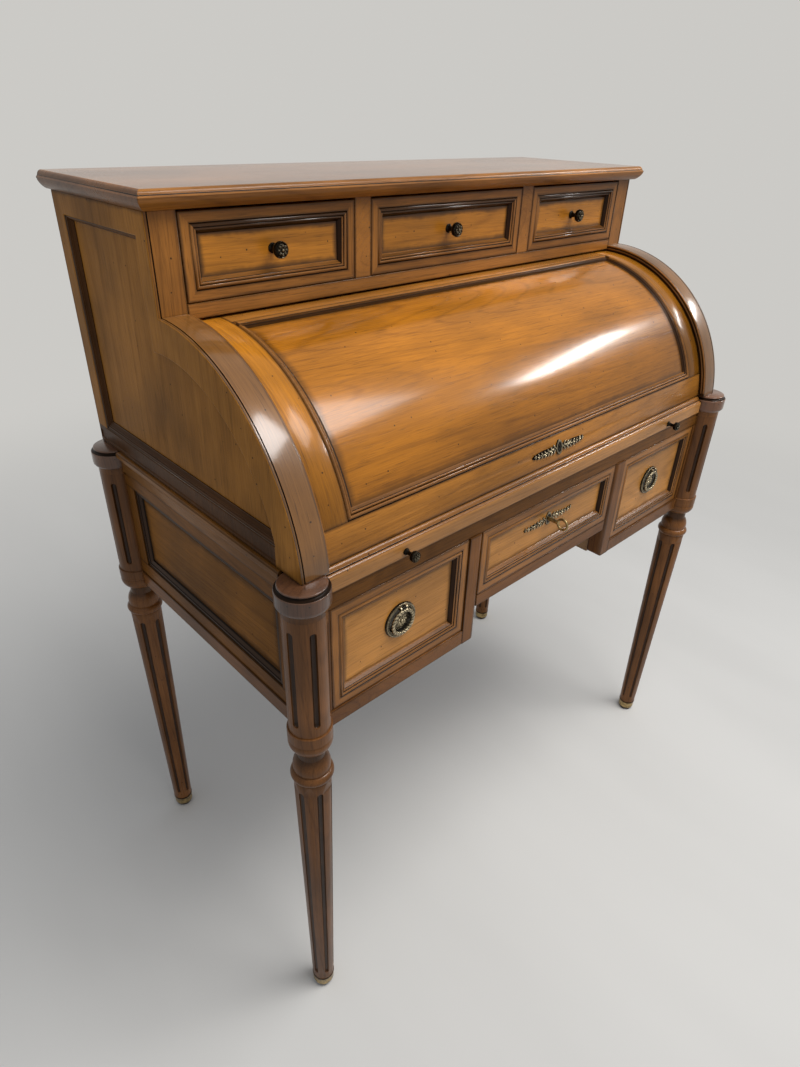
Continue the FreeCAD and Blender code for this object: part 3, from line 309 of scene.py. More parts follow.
# %% Floor
FLOOR_HALF = 14
FADE_START, FADE_END = 0.8, 2.6
FLOOR_DARK, FLOOR_LIGHT = 0.585, 0.62
BLUE_SHARE = 0.985
bm = bmesh.new()
bmesh.ops.create_grid(bm, x_segments=2, y_segments=2, size=FLOOR_HALF)
floor_mesh = bpy.data.meshes.new("floor")
bm.to_mesh(floor_mesh)
bm.free()
floor = bpy.data.objects.new("floor", floor_mesh)
scene.collection.objects.link(floor)
floor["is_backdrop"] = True
floor_finish = bpy.data.materials.new("pale_floor")
floor_finish.use_nodes = True
tree = floor_finish.node_tree
tree.nodes.clear()
where = add(tree, "TexCoord").outputs["Object"]
floor_tone = spread(tree, cloud(tree, where, (3, 0.8, 1), 3.0), FLOOR_DARK, FLOOR_LIGHT)
pale = add(tree, "CombineColor")
for channel, share in (("Red", 1.0), ("Green", 1.0), ("Blue", BLUE_SHARE)):
    feed(tree, pale.inputs[channel], reckon(tree, "MULTIPLY", floor_tone, share))
matt = add(tree, "BsdfDiffuse")
feed(tree, matt.inputs["Color"], pale.outputs[0])
haze = add(tree, "Emission")
haze.inputs["Color"].default_value = PALE_ROOM
distance = add(tree, "VectorMath", operation="LENGTH")
feed(tree, distance.inputs[0], where)
far_off = stretch(tree, distance.outputs["Value"], FADE_START, FADE_END)
mix_shaders(tree, reckon(tree, "MULTIPLY", far_off, seen_rays(tree)), matt, haze, "OutputMaterial")
floor_mesh.materials.append(floor_finish)
print("floor", FLOOR_HALF * 2, "m wide")

# %% [markdown]
# ## Grain, once for every board
#
# Every board of a real desk has a grain of its own, which runs along the board. A pattern on the
# object's own coordinates would run straight on from one board to the next. So each face corner carries
# three small attributes: *grain*, the corner's place in its own board (along, across, through), *spot*,
# its place on the face, and *board*, the face's half length, half width and the board's own number. The
# group below reads them and draws the figure of cherry: broad clouds, streaks, year rings, fine fibre
# and pores.

# %% Grain group
RING_LINE = 0.16
PORE_START, PORE_END = 0.60, 0.74


def attribute(tree, name, kind="Vector"):
    """What one of a piece's own attributes says at a point."""
    return add(tree, "Attribute", attribute_name=name).outputs[kind]


def split(tree, vector):
    """The three parts of a vector."""
    parts = add(tree, "SeparateXYZ")
    feed(tree, parts.inputs[0], vector)
    return parts.outputs


def vector_sum(tree, first, second):
    """Two vectors added up."""
    total = add(tree, "VectorMath", operation="ADD")
    feed(tree, total.inputs[0], first)
    feed(tree, total.inputs[1], second)
    return total.outputs[0]


grain_group, entry, leave = new_group("cherry_grain", [("Figure", 34.0)], ["Tone", "Pores", "Relief"])
board_number = split(grain_group, attribute(grain_group, "board"))["Z"]
own_start = add(grain_group, "CombineXYZ")
for axis, pace in (("X", 1.73), ("Y", 0.91), ("Z", 0.37)):
    feed(grain_group, own_start.inputs[axis], reckon(grain_group, "MULTIPLY", board_number, pace))
timber = vector_sum(grain_group, attribute(grain_group, "grain"), own_start.outputs[0])
broad = spread(grain_group, cloud(grain_group, timber, (1.1, 8, 8), 3.0, 0.5, 0.2))
streaks = spread(grain_group, cloud(grain_group, timber, (3, 80, 80), 3.0, 0.6, 0.1))
contour = cloud(grain_group, timber, (0.6, 6, 6), 1.0, 0.35, 0.15)
contour = reckon(grain_group, "MULTIPLY", contour, entry.outputs["Figure"])
rings = stretch(grain_group, reckon(grain_group, "PINGPONG", contour, 0.5), 0.0, RING_LINE)
fibre = spread(grain_group, cloud(grain_group, timber, (16, 620, 620), 2.0, 0.6))
tone = 0.0
for pattern, share in ((broad, 0.42), (streaks, 0.16), (rings, 0.18), (fibre, 0.24)):
    tone = reckon(grain_group, "ADD", reckon(grain_group, "MULTIPLY", pattern, share), tone)
pores = stretch(grain_group, cloud(grain_group, timber, (42, 1300, 1300), 1.0), PORE_START, PORE_END)
feed(grain_group, leave.inputs["Tone"], tone)
feed(grain_group, leave.inputs["Pores"], pores)
feed(grain_group, leave.inputs["Relief"], reckon(grain_group, "SUBTRACT", fibre, pores))
print("grain group", len(grain_group.nodes), "nodes")

# %% [markdown]
# ## Marks of age
#
# Old furniture has worm holes and fine scratches, and makers of new pieces copy both. Specks could be
# modelled as holes, but they are too small and too many. Here a cell pattern gives a dot to about half
# of its cells, and a thin band of a stretched noise gives the scratches.

# %% Age group
SPECK_CHANCE = 0.5
LARGEST_SPECK = 0.036
SCRATCH_START, SCRATCH_END = 0.66, 0.74
age_group, entry, leave = new_group("marks_of_age", [("Spacing", 34.0)], ["Specks", "Scratches"])
on_face = vector_sum(age_group, attribute(age_group, "spot"), attribute(age_group, "board"))
dots = add(age_group, "TexVoronoi", voronoi_dimensions="2D")
feed(age_group, dots.inputs["Vector"], on_face)
feed(age_group, dots.inputs["Scale"], entry.outputs["Spacing"])
chance = add(age_group, "SeparateColor")
feed(age_group, chance.inputs[0], dots.outputs["Color"])
dot_size = stretch(age_group, chance.outputs["Red"], SPECK_CHANCE, 1.0, 0.0, LARGEST_SPECK)
feed(age_group, leave.inputs["Specks"], reckon(age_group, "LESS_THAN", dots.outputs["Distance"], dot_size))
hair = cloud(age_group, on_face, (16, 210, 210), 3.0, 0.7, 1.2)
feed(age_group, leave.inputs["Scratches"], stretch(age_group, hair, SCRATCH_START, SCRATCH_END))
print("age group", len(age_group.nodes), "nodes")

# %% [markdown]
# ## Dark wax and painted shade
#
# Dark wax is rubbed over the whole desk and wiped off again, and stays near the edges of a panel and in
# the hollows. The same mask also paints the shade that falls near the edges and into the corners. It
# could be painted by hand. But each face already knows its half length and half width, so the way to its
# nearest edge is simple arithmetic. A noise makes the rim uneven, and the attribute *hollow* adds the
# flutes of the legs.

# %% Wax group
SHORTEST_REACH = 0.00001
THIN_WAX = 0.75
THIN_AT, THICK_AT = 0.2, 0.6
wax_and_shade_group, entry, leave = new_group("dark_wax_and_painted_shade", [("Reach", 0.01), ("Edge Share", 1.0)], ["Mask"])
here = split(wax_and_shade_group, attribute(wax_and_shade_group, "spot"))
half = split(wax_and_shade_group, attribute(wax_and_shade_group, "board"))
to_end = reckon(wax_and_shade_group, "SUBTRACT", half["X"], reckon(wax_and_shade_group, "ABSOLUTE", here["X"]))
to_side = reckon(wax_and_shade_group, "SUBTRACT", half["Y"], reckon(wax_and_shade_group, "ABSOLUTE", here["Y"]))
to_edge = reckon(wax_and_shade_group, "MINIMUM", to_end, to_side)
uneven = cloud(wax_and_shade_group, add(wax_and_shade_group, "TexCoord").outputs["Object"], (34, 34, 34), 3.0, 0.6)
reach = reckon(wax_and_shade_group, "MULTIPLY", entry.outputs["Reach"], reckon(wax_and_shade_group, "MULTIPLY", uneven, 2.0))
reach = reckon(wax_and_shade_group, "MAXIMUM", reach, SHORTEST_REACH)
near_edge = stretch(wax_and_shade_group, to_edge, 0.0, reach, 1.0, 0.0)
near_edge = reckon(wax_and_shade_group, "MULTIPLY", near_edge, entry.outputs["Edge Share"])
thick = stretch(wax_and_shade_group, uneven, THIN_AT, THICK_AT, THIN_WAX, 1.0)
in_hollow = reckon(wax_and_shade_group, "MULTIPLY", attribute(wax_and_shade_group, "hollow", "Fac"), thick)
feed(wax_and_shade_group, leave.inputs["Mask"], reckon(wax_and_shade_group, "MAXIMUM", near_edge, in_hollow, clamp=True))
print("wax group", len(wax_and_shade_group.nodes), "nodes")

# %% [markdown]
# ## Stained wood
#
# A finish could be one flat colour with a gloss. Real cherry shifts between a dark and a light tone
# along its streaks, its pores and worm specks are nearly black, dark wax and painted shade darken the
# edges, and the varnish lies over it all like glass. One function mixes a dark and a light tone with the
# three groups, so each wood of the desk is only a pair of tones and a few settings. Some boards also get
# painted light: lighter towards the top and darker towards the bottom, the way the room's light falls.

# %% Recipe for stained wood
WAX = (0.012, 0.005, 0.002)
SPECK = (0.012, 0.006, 0.003, 1)
PORE_SHARE, SCRATCH_SHARE, WAX_AND_SHADE_SHARE, SPECK_SHARE = 0.42, 0.12, 0.88, 0.85
PATCH_DARK, PATCH_LIGHT = 0.74, 1.14
# Painted light on some boards: they grow lighter along this direction, between these two levels.
PAINTED_LIGHT_RISE = (-0.12, 0, 1)
PAINTED_LIGHT_LOW, PAINTED_LIGHT_HIGH = 0.82, 1.0
VARNISH_ROUGHNESS = 0.14
GLOSS_LIFT, GLOSS_SWING = 0.45, 0.6
GRAIN_DEPTH = 0.0004


def new_finish(name):
    """A material with an empty tree and a Principled shader."""
    finish = bpy.data.materials.new(name)
    finish.use_nodes = True
    tree = finish.node_tree
    tree.nodes.clear()
    shader = add(tree, "BsdfPrincipled")
    feed(tree, add(tree, "OutputMaterial").inputs["Surface"], shader.outputs[0])
    return finish, tree, shader


def bump(tree, shader, height, strength, depth):
    """Raises the surface a little where a pattern is high."""
    raised = add(tree, "Bump")
    raised.inputs["Strength"].default_value = strength
    raised.inputs["Distance"].default_value = depth
    feed(tree, raised.inputs["Height"], height)
    feed(tree, shader.inputs["Normal"], raised.outputs[0])


def stained_wood(
    name, dark, light, wax=WAX, reach=0.003, edge_share=0.7, figure=34, gloss=0.28, coat=0.1, specks=1.0,
    shine=0.28, relief=0.12, painted_top_light=0.0,
):
    """Cherry or a plainer wood, from a dark and a light tone and the colour of its wax, which also paints
    shade.
    """
    finish, tree, shader = new_finish(name)
    grain = use_group(tree, grain_group, Figure=figure).outputs
    age = use_group(tree, age_group).outputs
    wax_and_painted_light = use_group(tree, wax_and_shade_group, Reach=reach, Edge_Share=edge_share).outputs
    where = add(tree, "TexCoord").outputs["Object"]
    patches = spread(tree, cloud(tree, where, (5, 9, 9), 3.0), PATCH_DARK, PATCH_LIGHT)
    # Painted light: lighter towards the top and a little to the left, darker towards the bottom.
    if painted_top_light:
        painted_height = add(tree, "VectorMath", operation="DOT_PRODUCT")
        feed(tree, painted_height.inputs[0], where)
        feed(tree, painted_height.inputs[1], PAINTED_LIGHT_RISE)
        painted_light = stretch(tree, painted_height.outputs["Value"], PAINTED_LIGHT_LOW, PAINTED_LIGHT_HIGH, 1 - painted_top_light, 1 + painted_top_light)
        patches = reckon(tree, "MULTIPLY", patches, painted_light)
    shade = add(tree, "CombineColor")
    for channel in ("Red", "Green", "Blue"):
        feed(tree, shade.inputs[channel], patches)
    colour = blend(tree, grain["Tone"], (*dark, 1), (*light, 1))
    colour = blend(tree, 1.0, colour, shade.outputs[0], "MULTIPLY")
    for mask, share, tint in (
        (grain["Pores"], PORE_SHARE, (*wax, 1)),
        (age["Scratches"], SCRATCH_SHARE * specks, (*light, 1)),
        (wax_and_painted_light["Mask"], WAX_AND_SHADE_SHARE, (*wax, 1)),
        (age["Specks"], SPECK_SHARE * specks, SPECK),
    ):
        colour = blend(tree, reckon(tree, "MULTIPLY", mask, share), colour, tint)
    feed(tree, shader.inputs["Base Color"], colour)
    duller = gloss + GLOSS_LIFT * relief
    rough = reckon(tree, "MULTIPLY_ADD", grain["Tone"], -GLOSS_SWING * relief, duller)
    feed(tree, shader.inputs["Roughness"], rough)
    shader.inputs["Specular IOR Level"].default_value = shine
    shader.inputs["Coat Weight"].default_value = coat
    shader.inputs["Coat Roughness"].default_value = VARNISH_ROUGHNESS
    bump(tree, shader, grain["Relief"], relief, GRAIN_DEPTH)
    return finish


print("wax hides", round(WAX_AND_SHADE_SHARE * 100), "% of the wood where it lies thick")

# %% [markdown]
# ## The woods of the desk
#
# The stain is the same everywhere, but a maker leaves more wax on mouldings than on panels, and hands
# do the rest. A few tones are painted light and shade: the ledge is lighter where mouldings face up, and
# the dark bead and the frieze are darker where they lie in shade. So the cherry has a name for each place
# it is used in, with its dark and its light tone. The inside of the desk is plainer wood, the drawer
# linings are bare.

# %% Woods
CHERRY = {
    "case": ((0.10, 0.036, 0.006), (0.38, 0.152, 0.028), {"shine": 0.2}),
    "panel": ((0.20, 0.073, 0.005), (0.62, 0.243, 0.024), {"reach": 0.008, "edge_share": 0.9}),
    "low_panel": ((0.225, 0.090, 0.014), (0.615, 0.275, 0.062), {"reach": 0.007, "shine": 0.18}),
    "side_panel": ((0.10, 0.038, 0.005), (0.31, 0.127, 0.02), {"reach": 0.012, "coat": 0.0, "shine": 0.03}),
    "gable": (
        (0.178, 0.071, 0.010), (0.465, 0.204, 0.039),
        {"reach": 0.006, "figure": 14, "gloss": 0.34, "coat": 0.0, "shine": 0.04},
    ),
    "side_frame": ((0.075, 0.029, 0.005), (0.24, 0.097, 0.02), {"coat": 0.0, "shine": 0.05}),
    "waist": ((0.11, 0.044, 0.008), (0.29, 0.122, 0.028), {"coat": 0.04, "shine": 0.1}),
    # The frieze is darker than the case: painted shade under the slide front.
    "frieze": ((0.070, 0.026, 0.004), (0.20, 0.078, 0.014), {"coat": 0.0, "shine": 0.08}),
    "dark": ((0.065, 0.023, 0.006), (0.22, 0.085, 0.020), {"coat": 0.05, "shine": 0.14}),
    "leg": ((0.066, 0.025, 0.007), (0.22, 0.087, 0.024), {"reach": 0.0, "coat": 0.2, "shine": 0.12}),
    "cap": ((0.05, 0.020, 0.009), (0.17, 0.072, 0.033), {"reach": 0.0, "coat": 0.6}),
    "bead": (
        (0.115, 0.043, 0.008), (0.30, 0.124, 0.028),
        {"reach": 0.0, "gloss": 0.24, "coat": 0.22, "shine": 0.2, "relief": 0.02},
    ),
    # A darker copy of the bead, for beads at the top and on the right: painted shade.
    "dark_bead": (
        (0.022, 0.009, 0.003), (0.075, 0.03, 0.008),
        {"reach": 0.0, "gloss": 0.2, "coat": 0.2, "shine": 0.14, "relief": 0.02},
    ),
    # A lighter copy of the cove, for ledges that face up: painted light.
    "ledge": (
        (0.07, 0.027, 0.005), (0.22, 0.09, 0.02),
        {"reach": 0.0, "coat": 0.0, "shine": 0.14, "relief": 0.02},
    ),
    # Nearly black: dark wax, and painted shade in the hollow of a moulding.
    "cove": (
        (0.014, 0.006, 0.002), (0.045, 0.018, 0.005),
        {"reach": 0.0, "coat": 0.0, "shine": 0.12, "relief": 0.02},
    ),
    "gable_mould": ((0.030, 0.012, 0.004), (0.11, 0.044, 0.012), {"reach": 0.0, "coat": 0.0, "shine": 0.05}),
    "groove": ((0.006, 0.003, 0.001), (0.02, 0.008, 0.003), {"reach": 0.0, "coat": 0.0, "shine": 0.08}),
    "rim": ((0.082, 0.034, 0.006), (0.23, 0.098, 0.022), {"gloss": 0.30, "coat": 1.0, "shine": 0.22}),
    "slab": ((0.10, 0.038, 0.009), (0.28, 0.112, 0.028), {"gloss": 0.16, "coat": 0.4}),
    "slide": ((0.17, 0.074, 0.016), (0.44, 0.200, 0.056), {"reach": 0.0015}),
    "stile": (
        (0.140, 0.049, 0.004), (0.395, 0.152, 0.013),
        {"gloss": 0.26, "coat": 0.3, "shine": 0.12, "painted_top_light": 0.5},
    ),
    "cylinder": ((0.155, 0.056, 0.007), (0.40, 0.163, 0.027), {"gloss": 0.26, "shine": 0.2}),
    "cylinder_panel": (
        (0.120, 0.039, 0.003), (0.445, 0.162, 0.010),
        {
            "reach": 0.010, "edge_share": 0.65, "figure": 44, "gloss": 0.24, "coat": 0.5, "shine": 0.1,
            "painted_top_light": 0.25,
        },
    ),
}
cherry = {}
for name, (dark, light, how) in CHERRY.items():
    cherry[name] = stained_wood("cherry_" + name, dark, light, **how)
PLAIN_WOODS = {
    "inner_wood": (
        (0.20, 0.105, 0.045), (0.38, 0.225, 0.11), (0.06, 0.03, 0.014),
        {"reach": 0.006, "edge_share": 0.4, "gloss": 0.5, "specks": 0.5},
    ),
    "drawer_lining": (
        (0.44, 0.29, 0.145), (0.62, 0.45, 0.26), (0.2, 0.11, 0.05),
        {"reach": 0.006, "edge_share": 0.3, "gloss": 0.6, "specks": 0.4},
    ),
    "back_board": (
        (0.22, 0.125, 0.06), (0.42, 0.27, 0.145), (0.08, 0.045, 0.02),
        {"reach": 0.008, "edge_share": 0.4, "gloss": 0.6, "specks": 0.5},
    ),
}
wood_of_slot = {"cherry_" + name: cherry[name] for name in ("case", "panel", "dark")}
for name, (dark, light, wax, how) in PLAIN_WOODS.items():
    wood_of_slot[name] = stained_wood(name, dark, light, wax, coat=0.0, **how)
print(len(cherry), "tones of cherry and", len(PLAIN_WOODS), "plain woods")

# %% [markdown]
# ## Metals
#
# The mounts are bronze that has gone nearly black, except where hands and polish have rubbed it bright.
# The bright high places also stand for painted highlights, and the dark low ones for painted shade. A
# mask could be painted, but the high places are known when a casting is made: an attribute says how far
# a point stands out, and a fine noise of tarnish breaks the edge of the bright places up.

# %% Metals
TARNISH_LOW = 0.45
SMOOTHER, DULLER = 0.08, 0.12
METAL_SHARE = 0.9
TARNISH_BUMP, TARNISH_DEPTH = 0.15, 0.0003


def cast_metal(name, deep, rubbed_and_lit, rough, wear_scale):
    """Metal that is dark in its hollows and bright where it stands out: wear, painted shade and painted
    highlights.
    """
    finish, tree, shader = new_finish(name)
    where = add(tree, "TexCoord").outputs["Object"]
    tarnish = spread(tree, cloud(tree, where, (wear_scale,) * 3, 4.0, 0.6))
    worn = stretch(tree, tarnish, 0.0, 1.0, TARNISH_LOW, 1.0)
    share = reckon(tree, "MULTIPLY", attribute(tree, "wear_and_highlight", "Fac"), worn, clamp=True)
    feed(tree, shader.inputs["Base Color"], blend(tree, share, (*deep, 1), (*rubbed_and_lit, 1)))
    dull_spots = stretch(tree, tarnish, 0.0, 1.0, rough - SMOOTHER, rough + DULLER)
    feed(tree, shader.inputs["Roughness"], dull_spots)
    shader.inputs["Metallic"].default_value = METAL_SHARE
    bump(tree, shader, tarnish, TARNISH_BUMP, TARNISH_DEPTH)
    return finish


bronze = cast_metal("bronze", (0.012, 0.009, 0.006), (0.66, 0.55, 0.36), 0.26, 420)
brass = cast_metal("brass", (0.05, 0.027, 0.011), (0.55, 0.40, 0.18), 0.34, 160)
steel = cast_metal("steel", (0.30, 0.30, 0.30), (0.48, 0.48, 0.47), 0.36, 220)
print(len(bpy.data.materials), "finishes")

# %% [markdown]
# ## Boards and their grain
#
# Each length of timber has three directions: along the grain, across it and through its thickness. A
# mesh knows nothing of that, and unwrapping each board by hand would take days. A small class works the
# directions out from the board's box, and one function writes them on the face corners, where the
# finishes read them.

# %% Boards
NUMBER_STEP = 0.618
board_count = 0


def next_number():
    """A number of its own for each board, so that no two have the same grain."""
    global board_count
    board_count += 1
    return board_count * NUMBER_STEP


class Board:
    """One length of timber: its axes (along, across, through), its middle and its half sizes."""

    def __init__(self, low, high, along=None):
        size = high - low
        self.order = sorted(range(3), key=lambda axis: -size[axis])
        if along is not None:
            self.order.remove(along)
            self.order.insert(0, along)
        self.middle = (low + high) / 2
        self.half = [size[axis] / 2 for axis in self.order]
        self.number = next_number()

    def place(self, point):
        """A point as seen from the board's middle: along, across, through."""
        local = point - self.middle
        return Vector(local[axis] for axis in self.order)

    def faced(self, face):
        """The axis that a face looks along: 0 along, 1 across, 2 through."""
        return max(range(3), key=lambda spot: abs(face.normal[self.order[spot]]))


def mark_faces(bm, faces, board, hollow_at=None):
    """Writes a board's grain on faces, and how deep in a hollow each corner lies."""
    vectors = bm.loops.layers.float_vector
    floats = bm.loops.layers.float
    grain_layer = vectors.get("grain") or vectors.new("grain")
    spot_layer = vectors.get("spot") or vectors.new("spot")
    board_layer = vectors.get("board") or vectors.new("board")
    hollow_layer = floats.get("hollow") or floats.new("hollow")
    for face in faces:
        first, second = (axis for axis in range(3) if axis != board.faced(face))
        facts = Vector((board.half[first], board.half[second], board.number))
        for loop in face.loops:
            place = board.place(loop.vert.co)
            loop[grain_layer] = place
            loop[spot_layer] = Vector((place[first], place[second], 0))
            loop[board_layer] = facts
            if hollow_at is not None:
                loop[hollow_layer] = hollow_at(loop.vert.co)


def extent(faces):
    """The lowest and highest corner of some faces."""
    points = [vert.co for face in faces for vert in face.verts]
    low = Vector(min(p[axis] for p in points) for axis in range(3))
    high = Vector(max(p[axis] for p in points) for axis in range(3))
    return low, high


def islands(bm):
    """The separate shells of a mesh, as lists of faces."""
    left = set(bm.faces)
    shells = []
    for first in bm.faces:
        if first not in left:
            continue
        left.discard(first)
        shell = [first]
        for face in shell:
            for edge in face.edges:
                for other in edge.link_faces:
                    if other in left:
                        left.discard(other)
                        shell.append(other)
        shells.append(shell)
    return shells


print(board_count, "boards so far")

# %% [markdown]
# ## Copies of the CAD solids
#
# A CAD solid has perfectly sharp arrises, and no real board has. Its mesh is loose triangles, which a
# bevel can't work on. So the triangles are copied, joined and cleaned into flat faces, and the sharp
# edges are planed off by a fraction of a millimetre. The original stays untouched and hidden, and the
# copy takes its body.

# %% Copies
TOUCH = 0.00001
FLAT_ANGLE = math.radians(1)
CURVED_ANGLE = math.radians(24)
SHARP_ANGLE = math.radians(30)


def merged_copy(node):
    """A copy of a CAD node's mesh, its loose triangles joined into flat faces."""
    bm = bmesh.new()
    bm.from_mesh(frame["nodes"][node].data)
    bmesh.ops.remove_doubles(bm, verts=bm.verts[:], dist=TOUCH)
    bmesh.ops.dissolve_limit(bm, angle_limit=FLAT_ANGLE, verts=bm.verts[:], edges=bm.edges[:])
    return bm


def board_copy(node):
    """A merged copy with its curved faces shaded smooth and its creases sharp."""
    bm = merged_copy(node)
    for face in bm.faces:
        turns = [edge.calc_face_angle(0) for edge in face.edges]
        face.smooth = any(FLAT_ANGLE / 2 < turn < CURVED_ANGLE for turn in turns)
    for edge in bm.edges:
        edge.smooth = edge.calc_face_angle(0) < SHARP_ANGLE
    return bm


def sharp_edges(bm, convex):
    """The outside arrises of a mesh, or its inside corners."""
    return [
        edge
        for edge in bm.edges
        if len(edge.link_faces) == 2 and edge.is_convex == convex and edge.calc_face_angle(0) > SHARP_ANGLE
    ]


def bevelled(bm, edges, width, segments):
    """Bevels some edges; returns the new faces."""
    made = bmesh.ops.bevel(
        bm,
        geom=edges,
        offset=width,
        offset_type="OFFSET",
        segments=segments,
        profile=0.5,
        affect="EDGES",
        clamp_overlap=True,
        material=-1,
    )
    return made["faces"]


def ease_edges(bm, width, segments=2, chosen=None):
    """Planes the outside arrises off, or only the chosen ones."""
    sharp = chosen or sharp_edges(bm, True)
    for edge in sharp:
        edge.smooth = True
    for face in bevelled(bm, sharp, width, segments):
        face.smooth = True


def finished(name, bm, finishes, *nodes):
    """Makes the piece that stands for some CAD nodes, with the nodes' body and the given finishes."""
    mesh = bpy.data.meshes.new(name)
    bm.to_mesh(mesh)
    bm.free()
    for finish in finishes:
        mesh.materials.append(finish)
    piece = bpy.data.objects.new(name, mesh)
    scene.collection.objects.link(piece)
    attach(piece, body_of_node[nodes[0]])
    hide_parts(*nodes)
    return piece


print("edges over", round(math.degrees(SHARP_ANGLE)), "degrees are eased")

# %% [markdown]
# ## Plain boards
#
# Most of the case is plain planks: rails, floors, backs, drawer boxes and the writing board. They could
# be drawn again as boxes, but the CAD model has their rebates and slots already. Each copy is eased, and
# each separate plank in it gets its own grain. A bevel can overshoot a little where planks meet in a
# corner, so every corner is kept inside the box of its CAD node.

# %% Plain boards
X_AXIS, Y_AXIS, Z_AXIS = 0, 1, 2
PLACES = ("left", "centre", "right")
TIERS = ("upper", "lower")
FINE_EASE = 0.0006
ROUND_EASE = 0.0022
FINE_BOARDS = (
    "case_rail", "case_dividers", "pedestal_sides", "drawer_floors", "slide_bed", "case_floor", "gallery",
    "lower_back", "upper_back", "writing_board",
)
DRAWER_BOXES = tuple("%s_drawer_box_%s" % (tier, place) for place in PLACES for tier in TIERS)


def planed_boards(node, width, along=None, finish=None):
    """The boards of a CAD node, eased and grained."""
    bm = board_copy(node)
    ease_edges(bm, width)
    low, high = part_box(node)
    for vert in bm.verts:
        vert.co = Vector(max(low[axis], min(high[axis], vert.co[axis])) for axis in range(3))
    for shell in islands(bm):
        mark_faces(bm, shell, Board(*extent(shell), along))
    return finished(node + "_planed", bm, [finish or wood_of_slot[slot_of_node[node]]], node)


planed_boards("base_and_knee_rails", ROUND_EASE)
for node in FINE_BOARDS + DRAWER_BOXES:
    planed_boards(node, FINE_EASE)
# The frieze gets its darker tone: painted shade under the slide front.
planed_boards("frieze_rail", FINE_EASE, X_AXIS, cherry["frieze"])
planed_boards("waist_mouldings", FINE_EASE, Y_AXIS, cherry["waist"])
print(board_count, "boards so far")

# %% [markdown]
# ## Front stiles
#
# The two stiles beside the kneehole are rounded on the side of the knees and below, as hands and clothes
# would soon do anyway. They could be sanded round all over, but the other arrises meet the drawers and
# stay crisp, so only the chosen edges get the wide bevel.

# %% Front stiles
KNEE_ROUND = 0.007
KNEE_SEGMENTS = 5
low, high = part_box("front_stiles")
bm = board_copy("front_stiles")
knee_side = min(abs(vert.co.x) for vert in bm.verts)
knee_edges = []
for edge in sharp_edges(bm, True):
    ends = [vert.co for vert in edge.verts]
    beside_knees = all(abs(end.x) < knee_side + TOUCH for end in ends)
    in_front = all(end.y < low.y + TOUCH for end in ends)
    below = all(end.z < low.z + TOUCH for end in ends)
    if beside_knees and (in_front or below):
        knee_edges.append(edge)
ease_edges(bm, KNEE_ROUND, KNEE_SEGMENTS, knee_edges)
for shell in islands(bm):
    mark_faces(bm, shell, Board(*extent(shell), Z_AXIS))
finished("front_stiles_rounded", bm, [cherry["dark"]], "front_stiles")
print(len(knee_edges), "edges rounded beside the kneehole")

# %% [markdown]
# ## Lower side frames
#
# A frame is two stiles and two rails, and where they meet, the grain turns a corner. In the CAD model it
# is one solid. It could be taken apart, but the finish only needs to know which face belongs to which
# board: the mesh is cut at the height of the rails, and each part gets a board of its own.

# %% Lower side frames
window_low, window_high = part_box("side_panels")


def cut_across(bm, axis, places):
    """Cuts a mesh into strips at places along an axis."""
    normal = Vector((axis == X_AXIS, axis == Y_AXIS, axis == Z_AXIS))
    for spot in places:
        everything = bm.verts[:] + bm.edges[:] + bm.faces[:]
        bmesh.ops.bisect_plane(bm, geom=everything, dist=TOUCH, plane_co=normal * spot, plane_no=normal)
    bm.normal_update()


for side in ("left", "right"):
    node = "side_frame_" + side
    bm = board_copy(node)
    ease_edges(bm, FINE_EASE)
    cut_across(bm, Z_AXIS, [window_low.z, window_high.z])
    low_rail, high_rail, stiles = [], [], []
    for face in bm.faces:
        height = face.calc_center_median().z
        if height < window_low.z:
            low_rail.append(face)
        elif height > window_high.z:
            high_rail.append(face)
        else:
            stiles.append(face)
    for rail in (low_rail, high_rail):
        mark_faces(bm, rail, Board(*extent(rail), Y_AXIS))
    for front in (True, False):
        stile = [face for face in stiles if (face.calc_center_median().y < 0) == front]
        mark_faces(bm, stile, Board(*extent(stile), Z_AXIS))
    finished(node + "_planed", bm, [cherry["side_frame"]], node)
print("two side frames, rails", round((window_high.z - window_low.z) * 1000), "mm apart")

# %% [markdown]
# ## Sunk panels
#
# The panels of the sides lie deep in their frames, behind a stepped moulding that is nearly black with
# wax and with painted shade. Loose strips could be mitred together. It is simpler to raise the panel's
# face to the level of the moulding and to inset it step by step: each inset makes one mitred ring, and
# the last one brings the face back down.

# %% Sunk panels
CASE, DARK, BEAD, PANEL, COVE, LEDGE, DARK_BEAD = range(7)
STRAIGHT, MOSTLY = 0.9, 0.5
FRAME_REVEAL = 0.0016
SIDE_STEPS = (
    (0.0012, -0.0012, DARK),
    (0.0010, 0.0010, COVE),
    (0.0030, 0.0, COVE),
    (0.0010, -0.0012, DARK),
    (0.0042, -0.0020, COVE),
)
LAST_STEP = 0.0010


def sink_steps(bm, faces, steps):
    """Insets a region by (width, rise, finish), again and again; returns all the new faces."""
    ringed = []
    for width, rise, tint in steps:
        made = bmesh.ops.inset_region(
            bm,
            faces=faces,
            thickness=width,
            depth=rise,
            use_even_offset=True,
            use_boundary=True,
        )
        for face in made["faces"]:
            face.material_index = tint
            face.smooth = tint == BEAD
        ringed += made["faces"]
    return ringed


